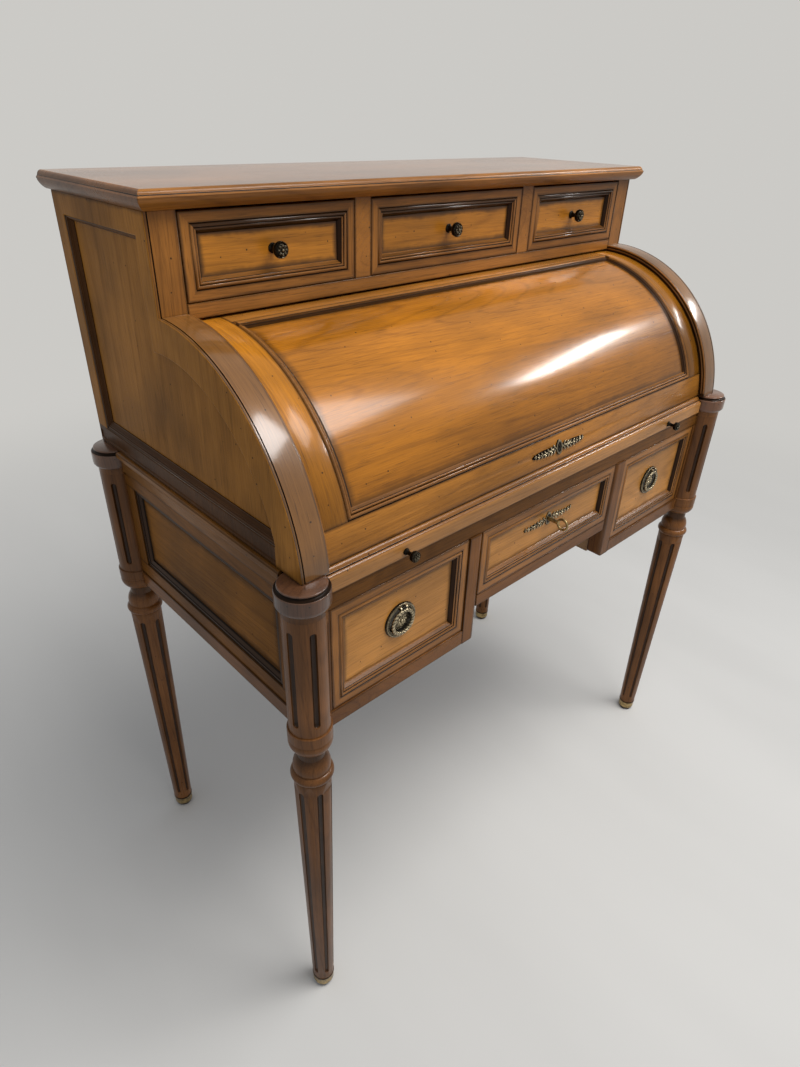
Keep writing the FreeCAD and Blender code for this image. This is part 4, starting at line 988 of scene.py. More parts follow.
frame_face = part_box("side_frame_right")[1].x
bm = merged_copy("side_panels")
bm.normal_update()
for side in (-1, 1):
    field = []
    for face in bm.faces:
        if face.normal.x * side > STRAIGHT and face.calc_center_median().x * side > 0:
            field.append(face)
    level = max(abs(vert.co.x) for face in field for vert in face.verts)
    raised = frame_face - FRAME_REVEAL - level
    outer = list({vert for face in field for vert in face.verts})
    bmesh.ops.translate(bm, verts=outer, vec=(side * raised, 0, 0))
    climbed = sum(rise for width, rise, tint in SIDE_STEPS)
    ringed = sink_steps(bm, field, SIDE_STEPS + ((LAST_STEP, -raised - climbed, DARK),))
    mark_faces(bm, ringed, Board(*extent(ringed), Y_AXIS))
    mark_faces(bm, field, Board(*extent(field), Y_AXIS))
steep = [face for face in bm.faces if abs(face.normal.x) < MOSTLY]
mark_faces(bm, steep, Board(*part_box("side_panels"), Y_AXIS))
side_panel = cherry["side_panel"]
side_finishes = [side_panel, cherry["groove"], cherry["bead"], side_panel, cherry["cove"]]
finished("side_panels_sunk", bm, side_finishes, "side_panels")
print("two side panels, sunk", round((raised + FRAME_REVEAL) * 1000, 1), "mm")

# %% [markdown]
# ## Gable panels
#
# The panel of a gable has a curved front edge and runs out to a sharp corner, where an inset would cross
# itself. Here only the straight edges have a moulding: a dark one below and behind, and a thin, lighter
# one on top. So it is made as three runs, each a small stepped section, a face of a few corners, that is
# extruded along the edge.

# %% Gable panels
MOULD_WIDTH = 0.0115
THIN_SHARE = 0.45
# Each corner of the section: how far across, its share of the full height, and how far below that it lies.
MOULD_SECTION = (
    (0.0, 0.0, 0.0),
    (0.0, 1.0, 0.0),
    (0.0036, 1.0, 0.0),
    (0.0044, 1.0, 0.0012),
    (0.0056, 1.0, 0.0012),
    (0.0066, 1.0, 0.0020),
    (0.0102, 0.22, 0.0),
    (MOULD_WIDTH, 0.22, 0.0),
    (MOULD_WIDTH, 0.0, 0.0),
)


def stepped_run(bm, start, end, inward, outward, height, share):
    """A stepped moulding from start to end, a share of the full width; returns its faces."""
    corners = []
    for across, up_share, drop_off in MOULD_SECTION:
        up = height * up_share - drop_off
        corners.append(bm.verts.new(start + inward * across * share + outward * up))
    end_face = bm.faces.new(corners)
    made = bmesh.ops.extrude_face_region(bm, geom=[end_face])["geom"]
    moved = [item for item in made if isinstance(item, bmesh.types.BMVert)]
    bmesh.ops.translate(bm, verts=moved, vec=end - start)
    run = list({face for vert in corners + moved for face in vert.link_faces})
    bmesh.ops.recalc_face_normals(bm, faces=run)
    return run


low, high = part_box("gable_panels")
bm = board_copy("gable_panels")
for shell in islands(bm):
    mark_faces(bm, shell, Board(*extent(shell), Z_AXIS))
panel_front = min(vert.co.y for vert in bm.verts if vert.co.z > high.z - TOUCH)
mould_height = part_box("gable_right")[1].x - high.x - FRAME_REVEAL
for side in (-1, 1):
    level = side * high.x
    bottom_front = Vector((level, low.y, low.z))
    bottom_back = Vector((level, high.y, low.z))
    top_back = Vector((level, high.y, high.z))
    top_front = Vector((level, panel_front, high.z))
    for start, end, inward, share, tint in (
        (bottom_front, bottom_back, Vector((0, 0, 1)), 1.0, DARK),
        (bottom_back, top_back, Vector((0, -1, 0)), 1.0, DARK),
        (top_back, top_front, Vector((0, 0, -1)), THIN_SHARE, BEAD),
    ):
        run = stepped_run(bm, start, end, inward, Vector((side, 0, 0)), mould_height, share)
        for face in run:
            face.material_index = tint
        mark_faces(bm, run, Board(*extent(run)))
panel_finishes = [cherry["gable"], cherry["gable_mould"], cherry["side_frame"]]
finished("gable_panels_sunk", bm, panel_finishes, "gable_panels")
print("gable panels, moulding", round(mould_height * 1000, 1), "mm high")

# %% [markdown]
# ## Legs
#
# The legs are turned and fluted in one length of wood. They could be spun again here, but the CAD solid
# has the flutes already, so its copy is shaded smooth and keeps its creases. The flutes have caught
# years of dark wax: how far a corner lies below the turned surface says how dark it is.

# %% Legs
LEG_CORNERS = ("front_left", "front_right", "back_left", "back_right")
COLUMN_RADIUS = 0.025
COLUMN_LOW, COLUMN_HIGH = 0.560, 0.722
TAPER_LOW, TAPER_HIGH = 0.024, 0.472
TAPER_FOOT, TAPER_TOP = 0.016, 0.0235
FLUTE_START, FLUTE_DEPTH = 0.0002, 0.0026
NECK_RADIUS, NECK_DEPTH, NECK_DARKEST = 0.0225, 0.006, 0.7


def smooth_to_creases(bm, crease):
    """Shades a whole mesh smooth, but for its creases."""
    for face in bm.faces:
        face.smooth = True
    for edge in bm.edges:
        edge.smooth = edge.calc_face_angle(0) < crease


def turned_copy(node):
    """A copy of a turned CAD node, smooth but for its creases."""
    bm = merged_copy(node)
    smooth_to_creases(bm, SHARP_ANGLE)
    return bm


def leg_axis(corner):
    """Where the axis of a leg meets the floor."""
    low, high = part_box("leg_" + corner)
    return Vector(((low.x + high.x) / 2, (low.y + high.y) / 2, 0))


def flute_depth(axis):
    """A rule that says how deep in a flute of this leg a point lies, from 0 to 1."""

    def depth(point):
        reach = math.hypot(point.x - axis.x, point.y - axis.y)
        if COLUMN_LOW < point.z < COLUMN_HIGH:
            surface = COLUMN_RADIUS
        elif TAPER_LOW < point.z < TAPER_HIGH:
            share = (point.z - TAPER_LOW) / (TAPER_HIGH - TAPER_LOW)
            surface = TAPER_FOOT + share * (TAPER_TOP - TAPER_FOOT)
        # Outside the column and the taper, the narrow necks get darker: wax, and painted shade under the
        # collar.
        else:
            return max(0.0, min(NECK_DARKEST, (NECK_RADIUS - reach) / NECK_DEPTH))
        return max(0.0, min(1.0, (surface - reach - FLUTE_START) / FLUTE_DEPTH))

    return depth


for corner in LEG_CORNERS:
    node = "leg_" + corner
    bm = turned_copy(node)
    mark_faces(bm, bm.faces, Board(*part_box(node), Z_AXIS), flute_depth(leg_axis(corner)))
    finished(node + "_turned", bm, [cherry["leg"]], node)
print(len(LEG_CORNERS), "legs, up to", round(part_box(node)[1].z * 1000), "mm high")

# %% [markdown]
# ## Caps of the legs
#
# Each leg ends in a turned cap: a flat disc with a small bead, a dark hollow below it and a broad band.
# A lathe cuts it from one profile, and so does a full spin here: the profile is a few corners from the
# axis at the top to the axis at the bottom.

# %% Caps
CREASE_ANGLE = math.radians(50)
SPIN_TOUCH = 0.000002
CAP_PROFILE = (
    (0.0, 0.7587), (0.0256, 0.7587), (0.0266, 0.7582), (0.0269, 0.7572), (0.0264, 0.7563),
    (0.0256, 0.7556), (0.0262, 0.7544), (0.0282, 0.7534), (0.0298, 0.7530), (0.0304, 0.7522),
    (0.0304, 0.7510), (0.0304, 0.7380), (0.0302, 0.7355), (0.0286, 0.7330), (0.0264, 0.7314),
    (0.0252, 0.7309), (0.0250, 0.7304), (0.0250, 0.7227), (0.0, 0.7227),
)
CAP_STEPS = 64
CAP_HOLLOW_LOW, CAP_HOLLOW_HIGH = 0.7532, 0.7566
CAP_FOOT = 0.7307


def spun(bm, profile, steps=40):
    """Spins a profile of (radius, height) round the upright axis."""
    verts = [bm.verts.new((radius, 0, height)) for radius, height in profile]
    edges = [bm.edges.new(pair) for pair in zip(verts, verts[1:])]
    bmesh.ops.spin(
        bm,
        geom=verts + edges,
        axis=(0, 0, 1),
        cent=(0, 0, 0),
        angle=math.tau,
        steps=steps,
        use_merge=True,
    )
    bmesh.ops.remove_doubles(bm, verts=bm.verts[:], dist=SPIN_TOUCH)
    bmesh.ops.recalc_face_normals(bm, faces=bm.faces[:])


def join_in(bm, part, shift=(0, 0, 0)):
    """Adds a part to a mesh, moved by a shift, and frees it."""
    bmesh.ops.translate(part, vec=shift, verts=part.verts[:])
    carrier = bpy.data.meshes.new("carrier")
    part.to_mesh(carrier)
    part.free()
    bm.from_mesh(carrier)
    bpy.data.meshes.remove(carrier)


def on_each_leg(profile, steps):
    """A profile that is spun about the axis of each leg."""
    bm = bmesh.new()
    for corner in LEG_CORNERS:
        one = bmesh.new()
        spun(one, profile, steps)
        join_in(bm, one, leg_axis(corner))
    smooth_to_creases(bm, CREASE_ANGLE)
    return bm


bm = on_each_leg(CAP_PROFILE, CAP_STEPS)
for face in bm.faces:
    height = face.calc_center_median().z
    # The hollow under the bead gets the near-black groove finish: painted shade.
    if CAP_HOLLOW_LOW < height < CAP_HOLLOW_HIGH:
        face.material_index = DARK
    elif height < CAP_FOOT:
        face.material_index = BEAD
for shell in islands(bm):
    mark_faces(bm, shell, Board(*extent(shell), Z_AXIS))
cap_faces = len(bm.faces)
finished("leg_caps_turned", bm, [cherry["cap"], cherry["groove"], cherry["leg"]], "leg_caps")
print("four caps,", cap_faces, "faces")

# %% [markdown]
# ## Brass and steel
#
# Each leg stands in a brass sabot: a plain ferrule that is worn bright, under a ring that has gone as
# dark as the wood. Its sole is left dark too: painted shade where it meets the floor. Its profile is
# spun like the caps. The key and the steel fittings keep their CAD shape, with their arrises filed off,
# because nothing on them is ornament.

# %% Brass and steel
SABOT_PROFILE = (
    (0.0, 0.0), (0.0110, 0.0), (0.0128, 0.0010), (0.0140, 0.0035), (0.0146, 0.0058),
    (0.0154, 0.0070), (0.0157, 0.0090), (0.0158, 0.0195), (0.0163, 0.0208), (0.0166, 0.0222),
    (0.0164, 0.0240), (0.0, 0.0240),
)
SABOT_STEPS = 48
SABOT_SHADED_SOLE, SABOT_RING = 0.0060, 0.0200
KEY_RUB, SABOT_RUB, STEEL_RUB = 0.85, 0.9, 0.5
FILED_EDGE = 0.0004
STEEL_FITTINGS = ("pivot_pins", "quadrant_arms", "cylinder_lock", "drawer_lock", "lock_bolt")


def paint_wear_and_highlight(bm, faces, rule):
    """Writes how bright each corner is, by a rule for a point: wear, and painted highlight and shade."""
    layer = bm.loops.layers.float.get("wear_and_highlight") or bm.loops.layers.float.new("wear_and_highlight")
    for face in faces:
        for loop in face.loops:
            loop[layer] = rule(loop.vert.co)


bm = turned_copy("key")
paint_wear_and_highlight(bm, bm.faces, lambda point: KEY_RUB)
finished("key_polished", bm, [brass], "key")
bm = on_each_leg(SABOT_PROFILE, SABOT_STEPS)
paint_wear_and_highlight(bm, bm.faces, lambda point: SABOT_RUB if SABOT_SHADED_SOLE < point.z < SABOT_RING else 0.0)
finished("leg_sabots_spun", bm, [brass], "leg_sabots")
for node in STEEL_FITTINGS:
    bm = board_copy(node)
    ease_edges(bm, FILED_EDGE)
    paint_wear_and_highlight(bm, bm.faces, lambda point: STEEL_RUB)
    finished(node + "_filed", bm, [steel], node)
print("a key, four sabots and", len(STEEL_FITTINGS), "steel fittings")

# %% [markdown]
# ## Top slab and slide front
#
# Both are moulded along their edges in the CAD model, with reeds along the front of the slide. They
# could be lofted from a section. Their copies only need smooth mouldings, a grain that runs from side to
# side, and a line of dark wax and painted shade in the inside corners, which is a narrow bevel with a
# finish of its own.

# %% Moulded boards
REED_BAND = 0.0085
WAX_AND_SHADE_LINE = 0.0011
SIDEWAYS, FORWARDS, LEVEL = 0.3, 0.1, 0.98
slide = cherry["slide"]
for node, finishes in (
    ("top_slab", [cherry["slab"], cherry["groove"], cherry["case"], cherry["dark"]]),
    ("slide_front", [slide, cherry["groove"], slide, slide, cherry["bead"]]),
):
    low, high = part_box(node)
    reeds = high.z - REED_BAND if node == "slide_front" else high.z
    bm = board_copy(node)
    bm.normal_update()
    for face in bm.faces:
        if abs(face.normal.x) > SIDEWAYS:
            face.material_index = PANEL
        elif face.normal.y < -FORWARDS and face.calc_center_median().z > reeds:
            face.material_index = COVE
        elif face.normal.z < LEVEL:
            face.material_index = BEAD
    wax_and_shade_lines = bevelled(bm, sharp_edges(bm, False), WAX_AND_SHADE_LINE, 1)
    for face in wax_and_shade_lines:
        face.material_index = DARK
    mark_faces(bm, bm.faces, Board(low, high, X_AXIS))
    print(node, "with", len(wax_and_shade_lines), "faces of wax")
    finished(node + "_moulded", bm, finishes, node)

# %% [markdown]
# ## Timber bent round the cylinder
#
# The rims of the gables and the frame of the cylinder are bent, and so is their grain. The class for
# straight boards would run the grain straight through the bend. A second one unrolls each point first:
# how far to the side, how far up the arc, and how far from the cylinder's axis.

# %% Curved boards
PIVOT = Vector(next(joint for joint in frame["joints"] if joint["name"] == "cylinder_turn")["pos_m"])
CYLINDER_RADIUS = 0.228


def about_axis(point):
    """A point as (side, arc length up the cylinder, distance from the axis)."""
    back = point.y - PIVOT.y
    up = point.z - PIVOT.z
    return Vector((point.x, math.atan2(up, -back) * CYLINDER_RADIUS, math.hypot(back, up)))


class CurvedBoard:
    """Timber bent about the cylinder's axis; its grain runs round the axis, or along it."""

    def __init__(self, faces, round_the_axis):
        places = [about_axis(vert.co) for face in faces for vert in face.verts]
        low = Vector(min(p[axis] for p in places) for axis in range(3))
        high = Vector(max(p[axis] for p in places) for axis in range(3))
        half = (high - low) / 2
        self.middle = (low + high) / 2
        self.order = [1, 0, 2] if round_the_axis else [0, 1, 2]
        self.half = [half[axis] for axis in self.order]
        self.number = next_number()

    def place(self, point):
        """A point as seen from the board's middle: along, across, through."""
        local = about_axis(point) - self.middle
        return Vector(local[axis] for axis in self.order)

    def faced(self, face):
        """The axis that a face looks along: 0 along, 1 across, 2 through."""
        angle = about_axis(face.calc_center_median()).y / CYLINDER_RADIUS
        up_the_arc = Vector((0, math.sin(angle), math.cos(angle)))
        outwards = Vector((0, -math.cos(angle), math.sin(angle)))
        turns = [abs(face.normal.x), abs(face.normal.dot(up_the_arc)), abs(face.normal.dot(outwards))]
        return max(range(3), key=lambda spot: turns[self.order[spot]])


print("cylinder axis at", round(PIVOT.y * 1000, 1), round(PIVOT.z * 1000, 1), "mm")

# %% [markdown]
# ## Gables
#
# Each gable ends in a thick quarter-round rim. A bead runs along its outer edge, with a fine dark groove
# beside it, and two thinner beads run round its inner wall, above the cylinder. The groove could be a
# separate strip, but cutting the rim's own faces along two planes and sinking the strip between them
# follows the arch and the straight front above it in one go. The inner beads are discs, spun round the
# cylinder's axis. A band is sunk into the foot of the gable, below its panel.

# %% Rims and their beads
GROOVE_OUT, GROOVE_IN = 0.0033, 0.0049
GROOVE_STEP = (0.0002, -0.0010, DARK)
INNER_BEADS = ((0.2362, 0.0015), (0.2318, 0.0013))
BEAD_START, BEAD_END = math.radians(6.5), math.radians(90.5)
BEAD_STEPS, BEAD_SEGMENTS = 60, 10
RIM_BACK = PIVOT.y + 0.002
RIM_SIDEWAYS, RIM_FORWARDS, RIM_UP = 0.05, 0.02, 0.1


def on_rim(face):
    """Whether a face lies on the rim: the arch, or the straight front above it."""
    looks_out = face.normal.y < -RIM_FORWARDS or face.normal.z > RIM_UP
    return looks_out and abs(face.normal.x) < RIM_SIDEWAYS and face.calc_center_median().y < RIM_BACK


def cut_groove(bm, side, outer_face):
    """Cuts two lines along the rim and sinks the strip between them; returns the strip."""
    for inset in (GROOVE_OUT, GROOVE_IN):
        rim = [face for face in bm.faces if on_rim(face)]
        geometry = rim + list({edge for face in rim for edge in face.edges})
        geometry += list({vert for face in rim for vert in face.verts})
        spot = Vector((side * (outer_face - inset), 0, 0))
        bmesh.ops.bisect_plane(bm, geom=geometry, dist=TOUCH, plane_co=spot, plane_no=(1, 0, 0))
    bm.normal_update()
    strip = []
    for face in bm.faces:
        depth = outer_face - abs(face.calc_center_median().x)
        if on_rim(face) and GROOVE_OUT < depth < GROOVE_IN:
            strip.append(face)
    sink_steps(bm, strip, [GROOVE_STEP])
    for face in strip:
        face.material_index = DARK
    return strip


def arc_bead(bm, x, reach, wire):
    """A bead that runs round the cylinder's axis, closed at both ends."""
    made = bmesh.ops.create_circle(bm, cap_ends=True, segments=BEAD_SEGMENTS, radius=wire)["verts"]
    out = Vector((0, -math.cos(BEAD_START), math.sin(BEAD_START)))
    side = Vector((1, 0, 0))
    turn = Matrix((side, out, side.cross(out))).transposed().to_4x4()
    spot = Vector((x, PIVOT.y, PIVOT.z)) + out * reach
    bmesh.ops.transform(bm, matrix=Matrix.Translation(spot) @ turn, verts=made)
    disc = made[0].link_faces[0]
    ends = bmesh.ops.spin(
        bm,
        geom=[disc] + list(disc.edges) + list(disc.verts),
        cent=PIVOT,
        axis=(-1, 0, 0),
        angle=BEAD_END - BEAD_START,
        steps=BEAD_STEPS,
        use_merge=False,
    )
    last = next(item for item in ends["geom_last"] if isinstance(item, bmesh.types.BMVert))
    strand = next(shell for shell in islands(bm) if any(last in face.verts for face in shell))
    bmesh.ops.recalc_face_normals(bm, faces=strand)
    for face in strand:
        face.material_index = BEAD
        face.smooth = True
    return strand


print("groove", round((GROOVE_IN - GROOVE_OUT) * 1000, 1), "mm wide")

# %% Gables
FRONT, FOOT = LEDGE, DARK_BEAD
FOOT_LINES = (0.0030, 0.0052, 0.0190, 0.0212)
FOOT_STEP = (0.0016, -0.0014, FOOT)
RIM_EASE, RIM_SEGMENTS = 0.0014, 3
RIM_TOP = PIVOT.z + 0.2375
INNER_WALL = 0.001
GABLE_WOODS = ("rim", "groove", "bead", "gable", "cove", "case", "gable_mould")
panel_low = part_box("gable_panels")[0]
for side, name in ((-1, "left"), (1, "right")):
    node = "gable_" + name
    low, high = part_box(node)
    outer_face = high.x if side > 0 else -low.x
    inner_face = low.x if side > 0 else -high.x
    bm = board_copy(node)
    ease_edges(bm, RIM_EASE, RIM_SEGMENTS)
    bm.normal_update()
    strip = cut_groove(bm, side, outer_face)
    cut_across(bm, Y_AXIS, [panel_low.y])
    cut_across(bm, Z_AXIS, [low.z + line for line in FOOT_LINES] + [panel_low.z])
    flat_faces, round_faces, straight_faces, hollows = [], [], [], []
    for face in bm.faces:
        middle = face.calc_center_median()
        if abs(face.normal.x) > MOSTLY:
            flat_faces.append(face)
            # The inner wall, between the gable and the cylinder, gets the near-black cove finish: painted
            # shade.
            if abs(middle.x) < inner_face + INNER_WALL:
                face.material_index = COVE
            elif middle.z < panel_low.z and middle.y > panel_low.y:
                face.material_index = FOOT
                height = middle.z - low.z
                if FOOT_LINES[1] < height < FOOT_LINES[2] and abs(middle.x) > outer_face - TOUCH:
                    hollows.append(face)
            elif face.material_index == CASE:
                face.material_index = PANEL
        elif middle.z > RIM_TOP and face.normal.y < -STRAIGHT:
            straight_faces.append(face)
            if face.material_index == CASE:
                face.material_index = FRONT
        else:
            round_faces.append(face)
    flat_faces += sink_steps(bm, hollows, [FOOT_STEP])
    mark_faces(bm, flat_faces, Board(low, high, Z_AXIS))
    mark_faces(bm, round_faces, CurvedBoard(round_faces, True))
    mark_faces(bm, straight_faces, Board(*extent(straight_faces), Z_AXIS))
    for reach, wire in INNER_BEADS:
        strand = arc_bead(bm, side * inner_face, reach, wire)
        mark_faces(bm, strand, CurvedBoard(strand, True))
    finished(node + "_beaded", bm, [cherry[wood] for wood in GABLE_WOODS], node)
    print(node, "with a groove of", len(strip), "faces")

# %% [markdown]
# ## Frame of the cylinder
#
# The cover is a frame of two stiles and two rails, bent to a quarter-round, with a panel inside a beaded
# moulding. The frame's CAD shape is right as it is, so it is only eased and grained: round the axis on
# the stiles, along it on the rails.

# %% Cylinder frame
FRAME_EASE = 0.0005
for node, round_the_axis, finish in (
    ("cylinder_stiles", True, cherry["stile"]),
    ("cylinder_rails", False, cherry["cylinder"]),
):
    bm = board_copy(node)
    ease_edges(bm, FRAME_EASE)
    shells = islands(bm)
    for shell in shells:
        mark_faces(bm, shell, CurvedBoard(shell, round_the_axis))
    finished(node + "_bent", bm, [finish], node)
    print(node, "in", len(shells), "lengths")

# %% [markdown]
# ## Panel of the cylinder
#
# Bent mouldings are hard to model in place. So the panel starts as a flat board, gets its moulding from
# insets, is cut into narrow strips, and is then rolled round the cylinder's axis. Its beads are shaded
# round. Where two finishes meet, the edge stays sharp, or the highlight on the panel would bend towards
# the moulding. Ledges that face up get a lighter finish, as painted light, and the beads at the top and
# on the right a darker one, as painted shade.

# %% Helpers for mouldings
INNER_LINE = 0.0009


def flat_board(low, high):
    """A bmesh box between two corners."""
    bm = bmesh.new()
    bmesh.ops.create_cube(bm, size=1)
    bmesh.ops.scale(bm, vec=high - low, verts=bm.verts[:])
    bmesh.ops.translate(bm, vec=(low + high) / 2, verts=bm.verts[:])
    bm.normal_update()
    return bm


def round_beads(bm, rounded):
    """Shades some faces round, with a sharp arris wherever two finishes meet."""
    for face in rounded:
        face.smooth = True
    for edge in bm.edges:
        edge.smooth = len({face.material_index for face in edge.link_faces}) == 1


def paint_lit_ledges(faces, axis, bottom):
    """Gives the ledges below a field, and the thin line right under it, a lighter finish: painted light."""
    for face in faces:
        place = face.calc_center_median()[axis]
        if face.material_index == COVE and place < bottom:
            face.material_index = LEDGE
        elif face.material_index == DARK and bottom - INNER_LINE < place < bottom:
            face.material_index = BEAD


def paint_shaded_beads(faces, axis, low, high):
    """Gives the beads between two places a darker finish: painted shade."""
    for face in faces:
        if face.material_index == BEAD and low < face.calc_center_median()[axis] < high:
            face.material_index = DARK_BEAD


def moulded_finishes(border, panel):
    """The finishes of a moulded board, in the order of their numbers."""
    wax_and_painted_light = [cherry[name] for name in ("cove", "ledge", "dark_bead")]
    return [border, cherry["groove"], cherry["bead"], panel] + wax_and_painted_light


print("line under a field", INNER_LINE * 1000, "mm")

# %% Cylinder panel
PANEL_BACK = -0.014
FRAME_LEVEL = -0.0005
PANEL_HALF = 0.372
LOW_ANGLE, HIGH_ANGLE = math.radians(15.2), math.radians(84.9)
STRIP_ANGLE = math.radians(1.6)
OUTER_BEAD = 0.0045
OUTWARDS = 0.1
CYLINDER_STEPS = (
    (0.0010, -0.0012, DARK),
    (0.0010, 0.0026, BEAD),
    (0.0020, 0.0002, BEAD),
    (0.0010, -0.0022, BEAD),
    (0.0007, -0.0012, DARK),
    (0.0008, 0.0012, BEAD),
    (0.0012, 0.0, BEAD),
    (0.0008, -0.0014, BEAD),
    (0.0006, -0.0008, DARK),
    (0.0024, -0.0014, COVE),
    (0.0008, -0.0004, DARK),
)
arc_low, arc_high = (angle * CYLINDER_RADIUS for angle in (LOW_ANGLE, HIGH_ANGLE))
bm = flat_board(Vector((-PANEL_HALF, arc_low, PANEL_BACK)), Vector((PANEL_HALF, arc_high, FRAME_LEVEL)))
field = [face for face in bm.faces if face.normal.z > STRAIGHT]
sink_steps(bm, field, CYLINDER_STEPS)
field_low, field_high = extent(field)
strips = round((HIGH_ANGLE - LOW_ANGLE) / STRIP_ANGLE)
spacing = (arc_high - arc_low) / strips
cut_across(bm, Y_AXIS, [arc_low + spacing * count for count in range(1, strips)])
round_beads(bm, [face for face in bm.faces if face.normal.z > OUTWARDS])
paint_lit_ledges(bm.faces, Y_AXIS, field_low.y)
paint_shaded_beads(bm.faces, Y_AXIS, field_high.y, arc_high - OUTER_BEAD)
paint_shaded_beads(bm.faces, X_AXIS, field_high.x, PANEL_HALF - OUTER_BEAD)
moulding = [face for face in bm.faces if face.material_index != CASE]
panel_faces = [face for face in bm.faces if face.material_index == CASE]
field = [face for face in panel_faces if face.normal.z > STRAIGHT]
for vert in bm.verts:
    angle = vert.co.y / CYLINDER_RADIUS
    reach = CYLINDER_RADIUS + vert.co.z
    vert.co = Vector((vert.co.x, PIVOT.y - reach * math.cos(angle), PIVOT.z + reach * math.sin(angle)))
bm.normal_update()
mark_faces(bm, panel_faces, CurvedBoard(field, False))
mark_faces(bm, moulding, CurvedBoard(moulding, False))
cover = cherry["cylinder_panel"]
finishes = moulded_finishes(cover, cover)
finished("cylinder_panel_moulded", bm, finishes, "cylinder_panel", "cylinder_moulding")
print("cylinder panel in", strips, "strips")

# %% [markdown]
# ## Drawer fronts
#
# A front is a frame round a sunk panel: a flat border, a bead, a hollow, a finer bead and a deep cove.
# Four mitred strips could be lofted, but each inset of the front face makes one mitred ring, so twelve
# insets give the whole moulding. The border's upright faces take an upright grain, as real stiles do.
# The upper drawers lie in the shade of the slab, so their top beads get a darker finish: painted shade.

# %% Drawer fronts
FRONT_EASE = 0.0010
DEAD_STRAIGHT = 0.99
FRONT_STEPS = (
    (0.0105, 0.0, CASE),
    (0.0010, -0.0014, DARK),
    (0.0009, 0.0018, BEAD),
    (0.0018, 0.0003, BEAD),
    (0.0010, -0.0014, BEAD),
    (0.0008, -0.0010, DARK),
    (0.0007, 0.0008, BEAD),
    (0.0010, 0.0, BEAD),
    (0.0007, -0.0010, BEAD),
    (0.0006, -0.0008, DARK),
    (0.0024, -0.0034, COVE),
    (0.0010, -0.0011, DARK),
)


def drawer_front(node, panel_finish, shaded_top):
    """A drawer front, framed, moulded and sunk in one board."""
    low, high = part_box(node)
    bm = flat_board(low, high)
    ease_edges(bm, FRONT_EASE)
    bm.normal_update()
    front_faces = [face for face in bm.faces if face.normal.y < -DEAD_STRAIGHT]
    field = [max(front_faces, key=lambda face: face.calc_area())]
    ringed = sink_steps(bm, field, FRONT_STEPS)
    field[0].material_index = PANEL
    round_beads(bm, [face for face in ringed if face.material_index == BEAD])
    field_low, field_high = extent(field)
    paint_lit_ledges(ringed, Z_AXIS, field_low.z)
    if shaded_top:
        paint_shaded_beads(ringed, Z_AXIS, field_high.z, high.z)
    for face in ringed:
        corner_low, corner_high = extent([face])
        along = X_AXIS if corner_high.x - corner_low.x > corner_high.z - corner_low.z else Z_AXIS
        mark_faces(bm, [face], Board(corner_low, corner_high, along))
    mark_faces(bm, field, Board(*extent(field), X_AXIS))
    moulded = set(ringed + field)
    mark_faces(bm, [face for face in bm.faces if face not in moulded], Board(low, high, X_AXIS))
    return finished(node + "_framed", bm, moulded_finishes(cherry["case"], panel_finish), node)


for place in PLACES:
    drawer_front("upper_drawer_front_" + place, cherry["panel"], True)
    drawer_front("lower_drawer_front_" + place, cherry["low_panel"], False)
print("six drawer fronts,", board_count, "boards in all")

# %% [markdown]
# ## Castings
#
# The knobs, ring pulls and laurel mounts are cast bronze, nearly black, rubbed bright where they stand
# out, which also paints their highlights, and dark in the hollows as painted shade. They could be
# sculpted. But castings of this kind are many small swellings on a plain ground, so they are built from
# small closed shells: spun discs, and petals and leaves pressed from spheres. Each mount is made flat,
# facing up, and then turned to face the front.

# %% Helpers for castings
FACE_FRONT = Matrix(((1, 0, 0), (0, 0, -1), (0, 1, 0))).to_4x4()
WEAR_AND_HIGHLIGHT_CURVE = 1.6
ROUNDS = (10, 6)
FEW_ROUNDS = (6, 4)


def drop(bm, spot, sizes, angle=0.0, tilt=0.0, rounds=ROUNDS):
    """A pressed sphere: its middle, its three half sizes, its angle in plan and how far its tip lifts."""
    turn = Matrix.Rotation(angle, 4, "Z") @ Matrix.Rotation(-tilt, 4, "Y")
    matrix = Matrix.Translation(spot) @ turn @ Matrix.Diagonal((*sizes, 1))
    bmesh.ops.create_uvsphere(bm, u_segments=rounds[0], v_segments=rounds[1], radius=1, matrix=matrix)


def ring_of_drops(bm, count, radius, height, sizes, tilt=0.0, start=0.0, rounds=ROUNDS):
    """Pressed spheres in a circle, each pointing outwards."""
    for number in range(count):
        angle = start + math.tau * number / count
        spot = Vector((radius * math.cos(angle), radius * math.sin(angle), height))
        drop(bm, spot, sizes, angle, tilt, rounds)


def rod(bm, radius, length, place, segments):
    """A round rod that lies from left to right."""
    lying = Matrix.Translation(place) @ Matrix.Rotation(math.pi / 2, 4, "Y")
    bmesh.ops.create_cone(
        bm,
        cap_ends=True,
        segments=segments,
        radius1=radius,
        radius2=radius,
        depth=length,
        matrix=lying,
    )


def by_height(low, high):
    """A rule for wear and painted light: dark up to one level, bright from another one on."""
    return lambda point: max(0.0, min(1.0, (point.z - low) / (high - low))) ** WEAR_AND_HIGHLIGHT_CURVE


def cast_piece(name, bm, place, rule, *nodes, turn=FACE_FRONT):
    """Brightens the high places by a rule, as wear and painted highlight, turns a casting to its place and
    finishes it.
    """
    bmesh.ops.recalc_face_normals(bm, faces=bm.faces[:])
    smooth_to_creases(bm, CREASE_ANGLE)
    paint_wear_and_highlight(bm, bm.faces, rule)
    bmesh.ops.transform(bm, matrix=Matrix.Translation(place) @ turn, verts=bm.verts[:])
    print(name, len(bm.faces), "faces")
    return finished(name, bm, [bronze], *nodes)


print("castings get", bronze.name)

